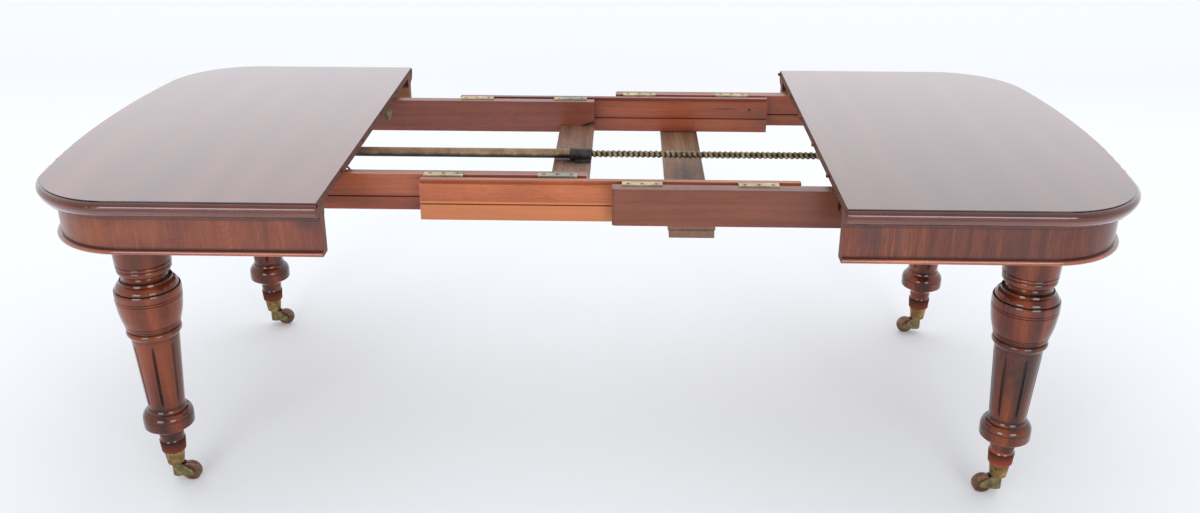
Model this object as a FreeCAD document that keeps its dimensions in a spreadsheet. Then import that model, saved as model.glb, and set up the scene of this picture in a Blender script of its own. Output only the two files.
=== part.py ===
# Extending dining table with two D ends, wound out on telescopic slides by a lead screw.
# X runs along the table, Y towards its back and Z up from the floor.
# It stands wound fully out, with no leaves in the gap, and its origin is the middle of its floor plan.

import FreeCAD
import Part
import Sketcher
import math
import os

document = FreeCAD.newDocument("ExtendingTable")
sizes = document.addObject("Spreadsheet::Sheet", "sizes")

driving_sizes = [
    # Overall form
    ("table_height", 740),
    ("leaf_gap", 1034),
    ("top_half_width", 526),
    ("half_top_length", 643),
    ("bow_radius", 2300),
    ("corner_radius", 198),
    # Tops and the moulding round them
    ("top_thickness", 18),
    ("edge_depth", 43),
    ("edge_inset", 20),
    ("edge_projection", 11),
    ("edge_widest_drop", 13),
    ("edge_waist_width", 10),
    ("edge_step_height", 2.5),
    ("edge_step_width", 1.5),
    ("edge_fillet_level", 9.5),
    ("edge_fillet_height", 2),
    ("edge_fillet_width", 1.2),
    ("lipping_width", 55),
    ("lipping_soffit_reach", 22),
    # Leaf dowels
    ("dowel_count", 6),
    ("dowel_diameter", 8.85),
    ("dowel_seat_depth", 23),
    ("dowel_nose_diameter", 8.5),
    ("dowel_projection", 7),
    ("dowel_edge_inset", 7),
    ("dowel_hole_clearance", 0.35),
    ("dowel_hole_depth", 12),
    ("dowel_hole_step", 0.1),
    # Apron, its facing and its bead
    ("apron_setback", 22),
    ("apron_height", 80),
    ("apron_thickness", 30),
    ("facing_thickness", 4),
    ("bead_height", 11),
    ("bead_projection", 9),
    # Slides
    ("slide_drop", 3.2),
    ("slide_height", 81.6),
    ("slide_side_inset", 257.7),
    ("inner_slide_thickness", 26),
    ("inner_slide_reach", 521),
    ("inner_slide_end_inset", 85),
    ("middle_slide_thickness", 37),
    ("middle_slide_height", 87.4),
    ("middle_slide_length", 806),
    ("middle_slide_overlap", 353),
    ("outer_slide_thickness", 31),
    ("outer_slide_reach", 457.5),
    ("outer_slide_end_inset", 92),
    ("slide_gap", 6),
    ("rib_width", 14),
    ("rib_height", 6.6),
    ("seat_setback", 45),
    ("groove_level", 51.5),
    ("groove_width", 3),
    ("groove_depth", 8),
    ("slide_end_chamfer", 5),
    # Tongues in the slide grooves
    ("tongue_length", 320),
    ("tongue_end_inset", 10),
    ("tongue_clearance", 0.2),
    # Keeper plates
    ("keeper_length", 85),
    ("keeper_width", 19),
    ("keeper_thickness", 2.5),
    ("keeper_bearing", 9),
    ("keeper_near_setback", 20),
    ("keeper_far_setback", 264),
    ("keeper_lip_clearance", 0.5),
    # Boards across the slides
    ("nut_board_width", 88),
    ("nut_board_thickness", 17),
    ("slide_end_slope_length", 37),
    ("slide_end_slope_height", 14),
    ("lower_board_width", 95),
    ("lower_board_thickness", 16),
    ("lower_board_setback", 120),
    ("lower_board_overhang", 4),
    ("packer_width", 100),
    ("packer_thickness", 8),
    ("packer_setback", 117),
    ("bearer_thickness", 22),
    ("bearer_height", 74),
    ("bearer_end_inset", 3),
    # Lead screw, its nut, guard tube and thrust bearing
    ("screw_drop", 71),
    ("screw_diameter", 18),
    ("screw_free_end", 36),
    ("journal_diameter", 15),
    ("running_clearance", 0.1),
    ("steady_clearance", 1),
    ("thrust_clearance", 0.3),
    ("nut_length", 39),
    ("nut_diameter", 26),
    ("nut_overhang", 2),
    ("nut_foot_width", 52),
    ("nut_foot_thickness", 4),
    ("nut_web_width", 18),
    ("socket_length", 13),
    ("socket_diameter", 28),
    ("tube_diameter", 22.5),
    ("tube_bore", 19.2),
    ("thrust_plate_side", 40),
    ("thrust_plate_thickness", 6),
    ("thrust_boss_diameter", 30),
    ("thrust_boss_length", 12),
    ("collar_diameter", 25),
    ("collar_length", 7),
    ("key_square_side", 10.5),
    ("key_square_length", 14),
    ("winding_hole_diameter", 30),
    # Legs
    ("leg_end_inset", 220.5),
    ("leg_side_inset", 135),
    ("leg_bulb_radius", 72.7),
    ("leg_dowel_diameter", 24),
    ("leg_dowel_length", 70),
    ("flute_count", 7),
    ("flute_angle", 7.5),
    ("flute_turn", 25.7),
    ("flute_depth", 3),
    ("leg_block_length", 140),
    ("leg_block_clearance", 1.7),
    # Castors
    ("cup_top_level", 82),
    ("cup_bottom_level", 46),
    ("cup_top_radius", 23),
    ("cup_bottom_radius", 18.5),
    ("cup_wall", 2.2),
    ("cup_floor", 12),
    ("spigot_clearance", 0.3),
    ("pivot_diameter", 9),
    ("pivot_length", 11),
    ("horn_clearance", 0.4),
    ("horn_hub_radius", 10.5),
    ("horn_hub_bottom", 12),
    ("horn_trail", 33),
    ("horn_arm_thickness", 3.5),
    ("horn_eye_radius", 7.5),
    ("wheel_diameter", 46),
    ("wheel_width", 15),
    ("wheel_side_clearance", 0.6),
    ("wheel_rim_radius", 3),
    ("wheel_recess_depth", 1.5),
    ("axle_diameter", 6),
    ("horn_wheel_clearance", 1.5),
    # Leaf clip and hook under the left top
    ("clip_slide_gap", 83.3),
    ("clip_setback", 13),
    ("clip_width", 19),
    ("clip_length", 34),
    ("clip_thickness", 2.5),
    ("clip_foot_length", 16),
    ("hook_width", 8),
    ("hook_thickness", 2.5),
    ("hook_inset", 22),
    ("hook_slide_gap", 18.3),
    ("hook_foot_length", 18),
    ("hook_drop_length", 26),
    ("cut_overrun", 5),
]

for row, (alias, size) in enumerate(driving_sizes, start=1):
    sizes.set("A%d" % row, alias.replace("_", " "))
    sizes.set("B%d" % row, str(size))
    sizes.setAlias("B%d" % row, alias)
document.recompute()


def of(text):
    """Expression in which every word of the sheet is bound to its cell."""
    for name in sorted((alias for alias, size in driving_sizes), key=len, reverse=True):
        text = text.replace("{" + name + "}", "sizes." + name)
    return "(" + text + ")"


def number(expression):
    value = sizes.evalExpression(expression)
    return float(getattr(value, "Value", value))


# Levels and places that follow from the driving sizes
half_gap = of("{leaf_gap} / 2")
top_level = of("{table_height}")
board_level = of("{table_height} - {top_thickness}")
soffit_level = of("{table_height} - {edge_depth}")
apron_level = of("{table_height} - {edge_depth} - {apron_height}")
tip_x = of("{leaf_gap} / 2 + {half_top_length}")
bow_centre_x = of("{leaf_gap} / 2 + {half_top_length} - {bow_radius}")
corner_centre_y = of("{top_half_width} - {corner_radius}")
bow_to_corner = of("{bow_radius} - {corner_radius}")
corner_centre_x = "(%s + sqrt(pow(%s; 2) - pow(%s; 2)))" % (bow_centre_x, bow_to_corner, corner_centre_y)
bow_half_angle = "(asin(%s / %s) / 1 deg)" % (corner_centre_y, bow_to_corner)
corner_angle = "(90 - %s)" % bow_half_angle
apron_inner_y = of("{top_half_width} - {apron_setback} - {apron_thickness}")
apron_inner_x = of("{leaf_gap} / 2 + {half_top_length} - {apron_setback} - {apron_thickness}")

slide_level = "(%s - sizes.slide_drop)" % board_level
slide_bottom = "(%s - sizes.slide_height)" % slide_level
middle_bottom = "(%s - sizes.middle_slide_height)" % slide_level
groove_height = "(%s - sizes.groove_level)" % slide_level
inner_face_near = of("{top_half_width} - {slide_side_inset}")
inner_face_far = "(%s + sizes.inner_slide_thickness)" % inner_face_near
middle_face_near = "(%s + sizes.slide_gap)" % inner_face_far
middle_face_far = "(%s + sizes.middle_slide_thickness)" % middle_face_near
outer_face_near = "(%s + sizes.slide_gap)" % middle_face_far
outer_face_far = "(%s + sizes.outer_slide_thickness)" % outer_face_near
inner_tip_x = "(sizes.inner_slide_reach - %s)" % half_gap
inner_start_x = "(sizes.inner_slide_end_inset - %s)" % tip_x
inner_slide_length = "(%s - %s)" % (inner_tip_x, inner_start_x)
outer_tip_x = "(%s - sizes.outer_slide_reach)" % half_gap
outer_end_x = "(%s - sizes.outer_slide_end_inset)" % tip_x
outer_slide_length = "(%s - %s)" % (outer_end_x, outer_tip_x)
middle_start_x = "(%s - sizes.middle_slide_overlap)" % inner_tip_x
middle_end_x = "(%s + sizes.middle_slide_length)" % middle_start_x
leg_x = "(%s - sizes.leg_end_inset)" % tip_x
leg_y = of("{top_half_width} - {leg_side_inset}")
leg_block_inner_face = "(%s + sizes.leg_block_clearance)" % outer_face_far
screw_level = of("{table_height} - {screw_drop}")
nut_board_top = "(%s + sizes.nut_board_thickness)" % slide_bottom
packer_bottom = "(%s - sizes.packer_thickness)" % slide_bottom

vector = FreeCAD.Vector
plane_turns = {
    "XY": FreeCAD.Rotation(),
    "XZ": FreeCAD.Rotation(vector(1, 0, 0), 90),
    "YZ": FreeCAD.Rotation(vector(1, 1, 1), 120),
}
nodes = []


def bind(item, **formulas):
    for name, formula in formulas.items():
        item.setExpression(name, formula)
    return item


def place(item, x="0", y="0", z="0"):
    item.setExpression("Placement.Base.x", x)
    item.setExpression("Placement.Base.y", y)
    item.setExpression("Placement.Base.z", z)
    return item


def node(item, label):
    """Names a finished piece and adds it to the pieces that are written out."""
    item.Label = label
    nodes.append(item)
    return item


def draw(sketch, outline):
    """Closed outline of corners (x, y) or (x, y, bulge), each bound to the sheet.

    A bulge is the tangent of a quarter of the arc's turn to the next corner,
    positive where the arc turns to the left.
    """
    points = [vector(number(corner[0]), number(corner[1]), 0) for corner in outline]
    starts = []
    ends = []
    for index, corner in enumerate(outline):
        following = (index + 1) % len(outline)
        bulge = corner[2] if len(corner) > 2 else 0
        first = points[index]
        last = points[following]
        if not bulge:
            sketch.addGeometry(Part.LineSegment(first, last), False)
            starts.append(1)
            ends.append(2)
            continue
        chord = last - first
        left = vector(-chord.y, chord.x, 0).normalize()
        radius = chord.Length * (1 + bulge * bulge) / (4 * abs(bulge))
        offset = chord.Length * (1 - bulge * bulge) / (4 * bulge)
        centre = (first + last) * 0.5 + left * offset
        turn = [math.atan2(end.y - centre.y, end.x - centre.x) for end in (first, last)]
        if bulge < 0:
            turn.reverse()
        if turn[1] < turn[0]:
            turn[1] += 2 * math.pi
        circle = Part.Circle(centre, vector(0, 0, 1), radius)
        sketch.addGeometry(Part.ArcOfCircle(circle, turn[0], turn[1]), False)
        starts.append(1 if bulge > 0 else 2)
        ends.append(2 if bulge > 0 else 1)
    count = len(outline)
    for index in range(count):
        following = (index + 1) % count
        joint = Sketcher.Constraint("Coincident", index, ends[index], following, starts[following])
        sketch.addConstraint(joint)
    for index, corner in enumerate(outline):
        for kind, formula, size in (
            ("DistanceX", corner[0], points[index].x),
            ("DistanceY", corner[1], points[index].y),
        ):
            constraint = Sketcher.Constraint(kind, -1, 1, index, starts[index], size)
            row = sketch.addConstraint(constraint)
            sketch.setExpression("Constraints[%d]" % row, formula)
        bulge = corner[2] if len(corner) > 2 else 0
        if abs(bulge) == 1:
            sketch.addConstraint(Sketcher.Constraint("Symmetric", index, 1, index, 2, index, 3))
        elif bulge:
            following = outline[(index + 1) % count]
            chord = "sqrt(pow(%s - %s; 2) + pow(%s - %s; 2))" % (
                following[0], corner[0], following[1], corner[1])
            formula = "%s * %.9f" % (chord, (1 + bulge * bulge) / (4 * abs(bulge)))
            row = sketch.addConstraint(Sketcher.Constraint("Radius", index, number(formula)))
            sketch.setExpression("Constraints[%d]" % row, formula)
    return sketch


def free_sketch(name, plane, outline, x="0", y="0", z="0"):
    sketch = document.addObject("Sketcher::SketchObject", name)
    sketch.Placement = FreeCAD.Placement(vector(), plane_turns[plane])
    draw(sketch, outline)
    return place(sketch, x, y, z)


def body_sketch(body, name, plane, outline, offset=None):
    sketch = body.newObject("Sketcher::SketchObject", name)
    role = plane + "_Plane"
    support = [item for item in body.Origin.OriginFeatures if item.Role == role][0]
    sketch.AttachmentSupport = [(support, "")]
    sketch.MapMode = "FlatFace"
    if offset:
        sketch.setExpression("AttachmentOffset.Base.z", offset)
    return draw(sketch, outline)


def rectangle(x0, y0, x1, y1):
    return [(x0, y0), (x1, y0), (x1, y1), (x0, y1)]


def extrude(name, sketch, length, symmetric=False):
    solid = document.addObject("Part::Extrusion", name)
    solid.Base = sketch
    solid.DirMode = "Normal"
    solid.Solid = True
    solid.Symmetric = symmetric
    return bind(solid, LengthFwd=length)


def box(name, x, y, z, length, width, height):
    solid = document.addObject("Part::Box", name)
    bind(solid, Length=length, Width=width, Height=height)
    return place(solid, x, y, z)


def rod(name, axis, diameter, length, x="0", y="0", z="0"):
    """Cylinder that starts at x, y, z and runs along the named axis."""
    solid = document.addObject("Part::Cylinder", name)
    turns = {"X": (vector(0, 1, 0), 90), "Y": (vector(1, 0, 0), -90), "Z": (vector(0, 0, 1), 0)}
    solid.Placement = FreeCAD.Placement(vector(), FreeCAD.Rotation(*turns[axis]))
    bind(solid, Radius="%s / 2" % diameter, Height=length)
    return place(solid, x, y, z)


def fuse(name, pieces):
    solid = document.addObject("Part::MultiFuse", name)
    solid.Shapes = pieces
    solid.Refine = True
    return solid


def cut(name, base, tool):
    solid = document.addObject("Part::Cut", name)
    solid.Base = base
    solid.Tool = tool
    solid.Refine = True
    return solid


def group(name, pieces):
    solid = document.addObject("Part::Compound", name)
    solid.Links = pieces
    return solid


def mirrored(name, source, normal):
    solid = document.addObject("Part::Mirroring", name)
    solid.Source = source
    solid.Normal = normal
    return solid


def revolve(name, sketch, axis, x, y, angle, symmetric=False):
    solid = document.addObject("Part::Revolution", name)
    solid.Source = sketch
    solid.Axis = axis
    solid.Solid = True
    solid.Symmetric = symmetric
    return bind(solid, **{"Base.x": x, "Base.y": y, "Angle": angle})


def new_body(name):
    return document.addObject("PartDesign::Body", name)


def pad(body, name, sketch, length, symmetric=False):
    feature = body.newObject("PartDesign::Pad", name)
    feature.Profile = sketch
    feature.SideType = "Symmetric" if symmetric else "One side"
    return bind(feature, Length=length)


def pocket(body, name, sketch, length):
    feature = body.newObject("PartDesign::Pocket", name)
    feature.Profile = sketch
    feature.SideType = "Symmetric"
    return bind(feature, Length=length)


def turned(body, name, sketch, axis):
    feature = body.newObject("PartDesign::Revolution", name)
    feature.Profile = sketch
    feature.ReferenceAxis = (sketch, [axis])
    feature.Angle = 360
    return feature


def grooved(body, name, sketch, axis, angle):
    feature = body.newObject("PartDesign::Groove", name)
    feature.Profile = sketch
    feature.ReferenceAxis = (sketch, [axis])
    feature.Midplane = True
    return bind(feature, Angle=angle)


# Bands that follow the D outline: a straight run, a rounded corner and the bowed end
upright = vector(0, 0, 1)
along = vector(1, 0, 0)
across = vector(0, 1, 0)


def run_profile(name, profile, x):
    outline = [("(sizes.top_half_width + %s)" % corner[0],) + tuple(corner[1:]) for corner in profile]
    return free_sketch(name, "YZ", outline, x=x)


def straight_run(name, profile):
    sketch = run_profile(name + "_profile", profile, half_gap)
    return extrude(name, sketch, "%s - %s" % (corner_centre_x, half_gap))


def rounded_corner(name, profile):
    sketch = run_profile(name + "_profile", profile, corner_centre_x)
    return revolve(name, sketch, -upright, corner_centre_x, corner_centre_y, corner_angle)


def bowed_end(name, profile):
    outline = [("(%s + %s)" % (tip_x, corner[0]),) + tuple(corner[1:]) for corner in profile]
    sketch = free_sketch(name + "_profile", "XZ", outline)
    return revolve(name, sketch, upright, bow_centre_x, "0", "2 * " + bow_half_angle, symmetric=True)


def end_band(name, profile):
    corner = rounded_corner(name + "_corner", profile)
    bow = bowed_end(name + "_bow", profile)
    other = mirrored(name + "_other_corner", corner, across)
    return fuse(name, [corner, bow, other])


def full_band(name, profile):
    run = straight_run(name + "_run", profile)
    corner = rounded_corner(name + "_corner", profile)
    bow = bowed_end(name + "_bow", profile)
    others = [mirrored(name + "_other_" + word, piece, across)
              for word, piece in (("run", run), ("corner", corner))]
    return fuse(name, [run, corner, bow] + others)


def d_outline(inset):
    """Outline of one end, drawn in from the arris of the top by the inset."""
    radius = "(sizes.corner_radius - %s)" % inset
    reach = "(%s + %s)" % (bow_to_corner, radius)
    touch_x = "(%s + (%s - %s) * %s / %s)" % (
        bow_centre_x, corner_centre_x, bow_centre_x, reach, bow_to_corner)
    touch_y = "(%s * %s / %s)" % (corner_centre_y, reach, bow_to_corner)
    side_y = "(sizes.top_half_width - %s)" % inset
    turn = math.radians(number(bow_half_angle))
    corner_bulge = math.tan((math.pi / 2 - turn) / 4)
    bow_bulge = math.tan(turn / 2)
    return [
        (half_gap, "-" + side_y),
        (corner_centre_x, "-" + side_y, corner_bulge),
        (touch_x, "-" + touch_y, bow_bulge),
        (touch_x, touch_y, corner_bulge),
        (corner_centre_x, side_y),
        (half_gap, side_y),
    ]


# Tops: a flat board with the upper half of the thumb moulding worked on its edge
thumb_upper = [
    ("-sizes.edge_inset", board_level),
    ("sizes.edge_waist_width", board_level, 0.07),
    ("sizes.edge_projection", "(%s - sizes.edge_widest_drop)" % top_level, 0.4),
    ("sizes.edge_step_width", "(%s - sizes.edge_step_height)" % top_level),
    ("0", "(%s - sizes.edge_step_height)" % top_level),
    ("0", top_level),
    ("-sizes.edge_inset", top_level),
]
top_edge = full_band("top_edge", thumb_upper)
top_field_sketch = free_sketch("top_field_sketch", "XY", d_outline("sizes.edge_inset"), z=board_level)
top_field = extrude("top_field", top_field_sketch, "sizes.top_thickness")
plain_top = fuse("plain_top", [top_edge, top_field])

# Dowels along the meeting edges, spread evenly over the width
dowel_level = "(%s - sizes.top_thickness / 2)" % top_level
dowel_pitch = "(2 * (sizes.top_half_width - sizes.dowel_edge_inset) / (sizes.dowel_count - 1))"
dowel_positions = range(int(number("sizes.dowel_count")))


def dowel_row(name, diameter, start_x, length, step="0"):
    rods = []
    for seat in dowel_positions:
        y = "(sizes.dowel_edge_inset - sizes.top_half_width + %d * %s)" % (seat, dowel_pitch)
        reach = "%s - %d * %s" % (length, seat, step)
        rods.append(rod("%s_%d" % (name, seat + 1), "X", diameter, reach, start_x, y, dowel_level))
    return rods


nose_start = "(%s - sizes.dowel_projection)" % half_gap
shanks = dowel_row("dowel_shank", "sizes.dowel_diameter", half_gap, "sizes.dowel_seat_depth")
noses = dowel_row("dowel_nose", "sizes.dowel_nose_diameter", nose_start, "sizes.dowel_projection")
dowels = [fuse("dowel_%d" % seat, list(pair)) for seat, pair in enumerate(zip(shanks, noses), start=1)]
loose_diameter = "(sizes.dowel_nose_diameter + 2 * sizes.dowel_hole_clearance)"
loose_length = "(sizes.dowel_hole_depth + sizes.cut_overrun)"
loose_start = "(%s - sizes.cut_overrun)" % half_gap
loose_holes = dowel_row("dowel_hole", loose_diameter, loose_start, loose_length, "sizes.dowel_hole_step")
left_board = cut("left_board", plain_top, group("dowel_holes", loose_holes))
node(mirrored("left_top", left_board, along), "left_top")
node(cut("right_top", plain_top, group("dowel_seats", shanks)), "right_top")
node(group("leaf_dowels", dowels), "leaf_dowels")

# Lipping under the edge of each top, with the lower half of the thumb and a cove
fillet_level = "(%s + sizes.edge_fillet_level)" % soffit_level
thumb_lower = [
    ("-sizes.lipping_width", soffit_level),
    ("-sizes.lipping_soffit_reach", soffit_level, -0.3),
    ("-sizes.edge_fillet_width", "(%s - sizes.edge_fillet_height)" % fillet_level),
    ("-sizes.edge_fillet_width", fillet_level),
    ("0", fillet_level, 0.17),
    ("sizes.edge_waist_width", board_level),
    ("-sizes.lipping_width", board_level),
]
right_lipping = node(full_band("right_lipping", thumb_lower), "right_lipping")
node(mirrored("left_lipping", right_lipping, along), "left_lipping")

# Apron: straight boards at front and back, a bent board round each end
core_offset = "(-sizes.apron_setback - sizes.facing_thickness)"
core_back = "(-sizes.apron_setback - sizes.apron_thickness)"
core_profile = rectangle(core_back, apron_level, core_offset, soffit_level)
facing_profile = rectangle(core_offset, apron_level, "-sizes.apron_setback", soffit_level)
straight_apron = straight_run("straight_apron", core_profile)
end_apron = end_band("end_apron", core_profile)
facing = full_band("facing", facing_profile)
winding_hole = rod(
    "winding_hole", "X", "sizes.winding_hole_diameter", "2 * sizes.apron_thickness",
    x="(%s - sizes.apron_thickness / 2)" % apron_inner_x, z=screw_level)
node(straight_apron, "right_apron_back")
front_apron = node(mirrored("front_apron", straight_apron, across), "right_apron_front")
node(mirrored("left_back_apron", straight_apron, along), "left_apron_back")
node(mirrored("left_front_apron", front_apron, along), "left_apron_front")
node(cut("right_end_apron", end_apron, winding_hole), "right_apron_end")
node(mirrored("left_end_apron", end_apron, along), "left_apron_end")
node(cut("right_facing", facing, winding_hole), "right_apron_facing")
node(mirrored("left_facing", facing, along), "left_apron_facing")

# Half round bead along the bottom of the facing
bead_flat = "(sizes.bead_projection - sizes.bead_height / 2 - sizes.apron_setback)"
bead_top = "(%s + sizes.bead_height)" % apron_level
bead_profile = [
    ("-sizes.apron_setback", apron_level),
    (bead_flat, apron_level, 1),
    (bead_flat, bead_top),
    ("-sizes.apron_setback", bead_top),
]
right_bead = node(full_band("right_bead", bead_profile), "right_bead")
node(mirrored("left_bead", right_bead, along), "left_bead")

# Slides: an inner and an outer bar on each side, with a ribbed bar running between them
groove_low = "(%s - sizes.groove_width / 2)" % groove_height
groove_high = "(%s + sizes.groove_width / 2)" % groove_height
sides = (("front", "-1"), ("back", "1"))


def sided(side, outline):
    return [("(%s * %s)" % (side, corner[0]),) + tuple(corner[1:]) for corner in outline]


def inner_slide(word, side):
    body = new_body("inner_slide_" + word)
    groove_floor = "(%s - sizes.groove_depth)" % inner_face_far
    section = [
        (inner_face_near, slide_bottom),
        (inner_face_far, slide_bottom),
        (inner_face_far, groove_low),
        (groove_floor, groove_low),
        (groove_floor, groove_high),
        (inner_face_far, groove_high),
        (inner_face_far, slide_level),
        (inner_face_near, slide_level),
    ]
    bar = body_sketch(body, "inner_section_" + word, "YZ", sided(side, section))
    pad(body, "inner_bar_" + word, bar, inner_slide_length)
    seat = rectangle(inner_face_near, slide_level, inner_face_far, board_level)
    seat_sketch = body_sketch(body, "inner_seat_section_" + word, "YZ", sided(side, seat))
    seat_length = "(-%s - sizes.seat_setback - %s)" % (half_gap, inner_start_x)
    pad(body, "inner_seat_" + word, seat_sketch, seat_length)
    notch_start = "(%s - sizes.nut_board_width)" % inner_slide_length
    slope_start = "(%s - sizes.slide_end_slope_length)" % inner_slide_length
    beyond = "(%s + sizes.cut_overrun)" % inner_slide_length
    below = "(%s - sizes.cut_overrun)" % slide_bottom
    slope_rise = "(sizes.slide_end_slope_height / sizes.slide_end_slope_length)"
    slope_run = "(sizes.slide_end_slope_length + sizes.cut_overrun)"
    slope_top = "(%s + %s * %s)" % (nut_board_top, slope_rise, slope_run)
    notch = [
        (notch_start, below),
        (beyond, below),
        (beyond, slope_top),
        (slope_start, nut_board_top),
        (notch_start, nut_board_top),
    ]
    notch_sketch = body_sketch(body, "inner_notch_outline_" + word, "XZ", notch)
    pocket(body, "inner_notch_" + word, notch_sketch, "2 * sizes.top_half_width")
    place(body, x=inner_start_x)
    return node(body, "inner_slide_" + word)


def middle_slide(word, side):
    body = new_body("middle_slide_" + word)
    near_floor = "(%s + sizes.groove_depth)" % middle_face_near
    far_floor = "(%s - sizes.groove_depth)" % middle_face_far
    ledge = "(%s - sizes.rib_height)" % slide_level
    rib_near = "(%s + (sizes.middle_slide_thickness - sizes.rib_width) / 2)" % middle_face_near
    rib_far = "(%s + sizes.rib_width)" % rib_near
    section = [
        (middle_face_near, middle_bottom),
        (middle_face_far, middle_bottom),
        (middle_face_far, groove_low),
        (far_floor, groove_low),
        (far_floor, groove_high),
        (middle_face_far, groove_high),
        (middle_face_far, ledge),
        (rib_far, ledge),
        (rib_far, slide_level),
        (rib_near, slide_level),
        (rib_near, ledge),
        (middle_face_near, ledge),
        (middle_face_near, groove_high),
        (near_floor, groove_high),
        (near_floor, groove_low),
        (middle_face_near, groove_low),
    ]
    bar = body_sketch(body, "middle_section_" + word, "YZ", sided(side, section))
    pad(body, "middle_bar_" + word, bar, "sizes.middle_slide_length")
    place(body, x=middle_start_x)
    return node(body, "middle_slide_" + word)


def outer_slide(word, side):
    body = new_body("outer_slide_" + word)
    groove_floor = "(%s + sizes.groove_depth)" % outer_face_near
    section = [
        (outer_face_near, slide_bottom),
        (outer_face_far, slide_bottom),
        (outer_face_far, slide_level),
        (outer_face_near, slide_level),
        (outer_face_near, groove_high),
        (groove_floor, groove_high),
        (groove_floor, groove_low),
        (outer_face_near, groove_low),
    ]
    bar = body_sketch(body, "outer_section_" + word, "YZ", sided(side, section))
    pad(body, "outer_bar_" + word, bar, outer_slide_length)
    seat_start = "(sizes.outer_slide_reach + sizes.seat_setback)"
    seat = rectangle(outer_face_near, slide_level, outer_face_far, board_level)
    seat_sketch = body_sketch(
        body, "outer_seat_section_" + word, "YZ", sided(side, seat), offset=seat_start)
    pad(body, "outer_seat_" + word, seat_sketch, "%s - %s" % (outer_slide_length, seat_start))
    corner_y = "(%s + sizes.cut_overrun)" % outer_face_far
    bevel_y = "(%s - sizes.slide_end_chamfer)" % outer_face_far
    bevel_x = "(sizes.slide_end_chamfer + sizes.cut_overrun)"
    bevel = [
        ("0", "(%s * %s)" % (side, bevel_y)),
        (bevel_x, "(%s * %s)" % (side, corner_y)),
        ("0", "(%s * %s)" % (side, corner_y)),
    ]
    bevel_sketch = body_sketch(body, "outer_bevel_outline_" + word, "XY", bevel)
    pocket(body, "outer_bevel_" + word, bevel_sketch, "3 * sizes.table_height")
    place(body, x=outer_tip_x)
    return node(body, "outer_slide_" + word)


for word, side in sides:
    inner_slide(word, side)
    middle_slide(word, side)
    outer_slide(word, side)

# Loose tongues: one runs in the inner slide's groove, the other in the outer slide's
tongue_thickness = "(sizes.groove_width - 2 * sizes.tongue_clearance)"
tongue_width = "(sizes.slide_gap + 2 * sizes.groove_depth - 2 * sizes.tongue_clearance)"
tongue_level = "(%s - %s / 2)" % (groove_height, tongue_thickness)
inner_tongue_x = "(%s + sizes.tongue_end_inset)" % middle_start_x
outer_tongue_x = "(%s - sizes.tongue_end_inset - sizes.tongue_length)" % middle_end_x
inner_tongue_y = "(%s - sizes.slide_gap - sizes.groove_depth + sizes.tongue_clearance)" % middle_face_near
outer_tongue_y = "(%s - sizes.groove_depth + sizes.tongue_clearance)" % middle_face_far
for word, side in sides:
    strips = []
    for kind, x, near_y in (
            ("inner", inner_tongue_x, inner_tongue_y),
            ("outer", outer_tongue_x, outer_tongue_y)):
        far_y = "(%s + %s)" % (near_y, tongue_width)
        outline = sided(side, rectangle(
            near_y, tongue_level, far_y, "(%s + %s)" % (tongue_level, tongue_thickness)))
        name = "%s_tongue_%s" % (kind, word)
        sketch = free_sketch(name + "_section", "YZ", outline, x=x)
        strips.append(extrude(name, sketch, "sizes.tongue_length"))
    node(group("slide_tongues_" + word, strips), "slide_tongues_" + word)

# Keeper plates: brass angles screwed on the fixed slides, each lip down in the rebate beside the rib
keeper_top = "(%s + sizes.keeper_thickness)" % slide_level
lip_bottom = "(%s - sizes.rib_height + sizes.keeper_lip_clearance)" % slide_level


def keeper_outline(slide_face, direction):
    inside = "(%s - %s * sizes.keeper_bearing)" % (slide_face, direction)
    tip = "(%s + %s * (sizes.keeper_width - sizes.keeper_bearing))" % (slide_face, direction)
    lip = "(%s - %s * sizes.keeper_thickness)" % (tip, direction)
    return [
        (inside, slide_level),
        (lip, slide_level),
        (lip, lip_bottom),
        (tip, lip_bottom),
        (tip, keeper_top),
        (inside, keeper_top),
    ]


def keeper_plates(kind, slide_face, direction, starts):
    plates = []
    for word, side in sides:
        for number_along, start in enumerate(starts, start=1):
            name = "%s_keeper_%s_%d" % (kind, word, number_along)
            outline = sided(side, keeper_outline(slide_face, direction))
            sketch = free_sketch(name + "_section", "YZ", outline, x=start)
            plates.append(extrude(name, sketch, "sizes.keeper_length"))
    return node(group(kind + "_keeper_plates", plates), kind + "_keeper_plates")


keeper_plates("inner", inner_face_far, "1", (
    "(%s - sizes.keeper_near_setback - sizes.keeper_length)" % inner_tip_x,
    "(%s - sizes.keeper_far_setback - sizes.keeper_length)" % inner_tip_x,
))
keeper_plates("outer", outer_face_near, "-1", (
    "(%s + sizes.keeper_near_setback)" % outer_tip_x,
    "(%s + sizes.keeper_far_setback)" % outer_tip_x,
))

# Board let into the inner slides, which carries the nut
nut_board_x = "(%s - sizes.nut_board_width)" % inner_tip_x
node(
    box("nut_board", nut_board_x, "-" + inner_face_far, slide_bottom,
        "sizes.nut_board_width", "2 * " + inner_face_far, "sizes.nut_board_thickness"),
    "nut_board")

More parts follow.
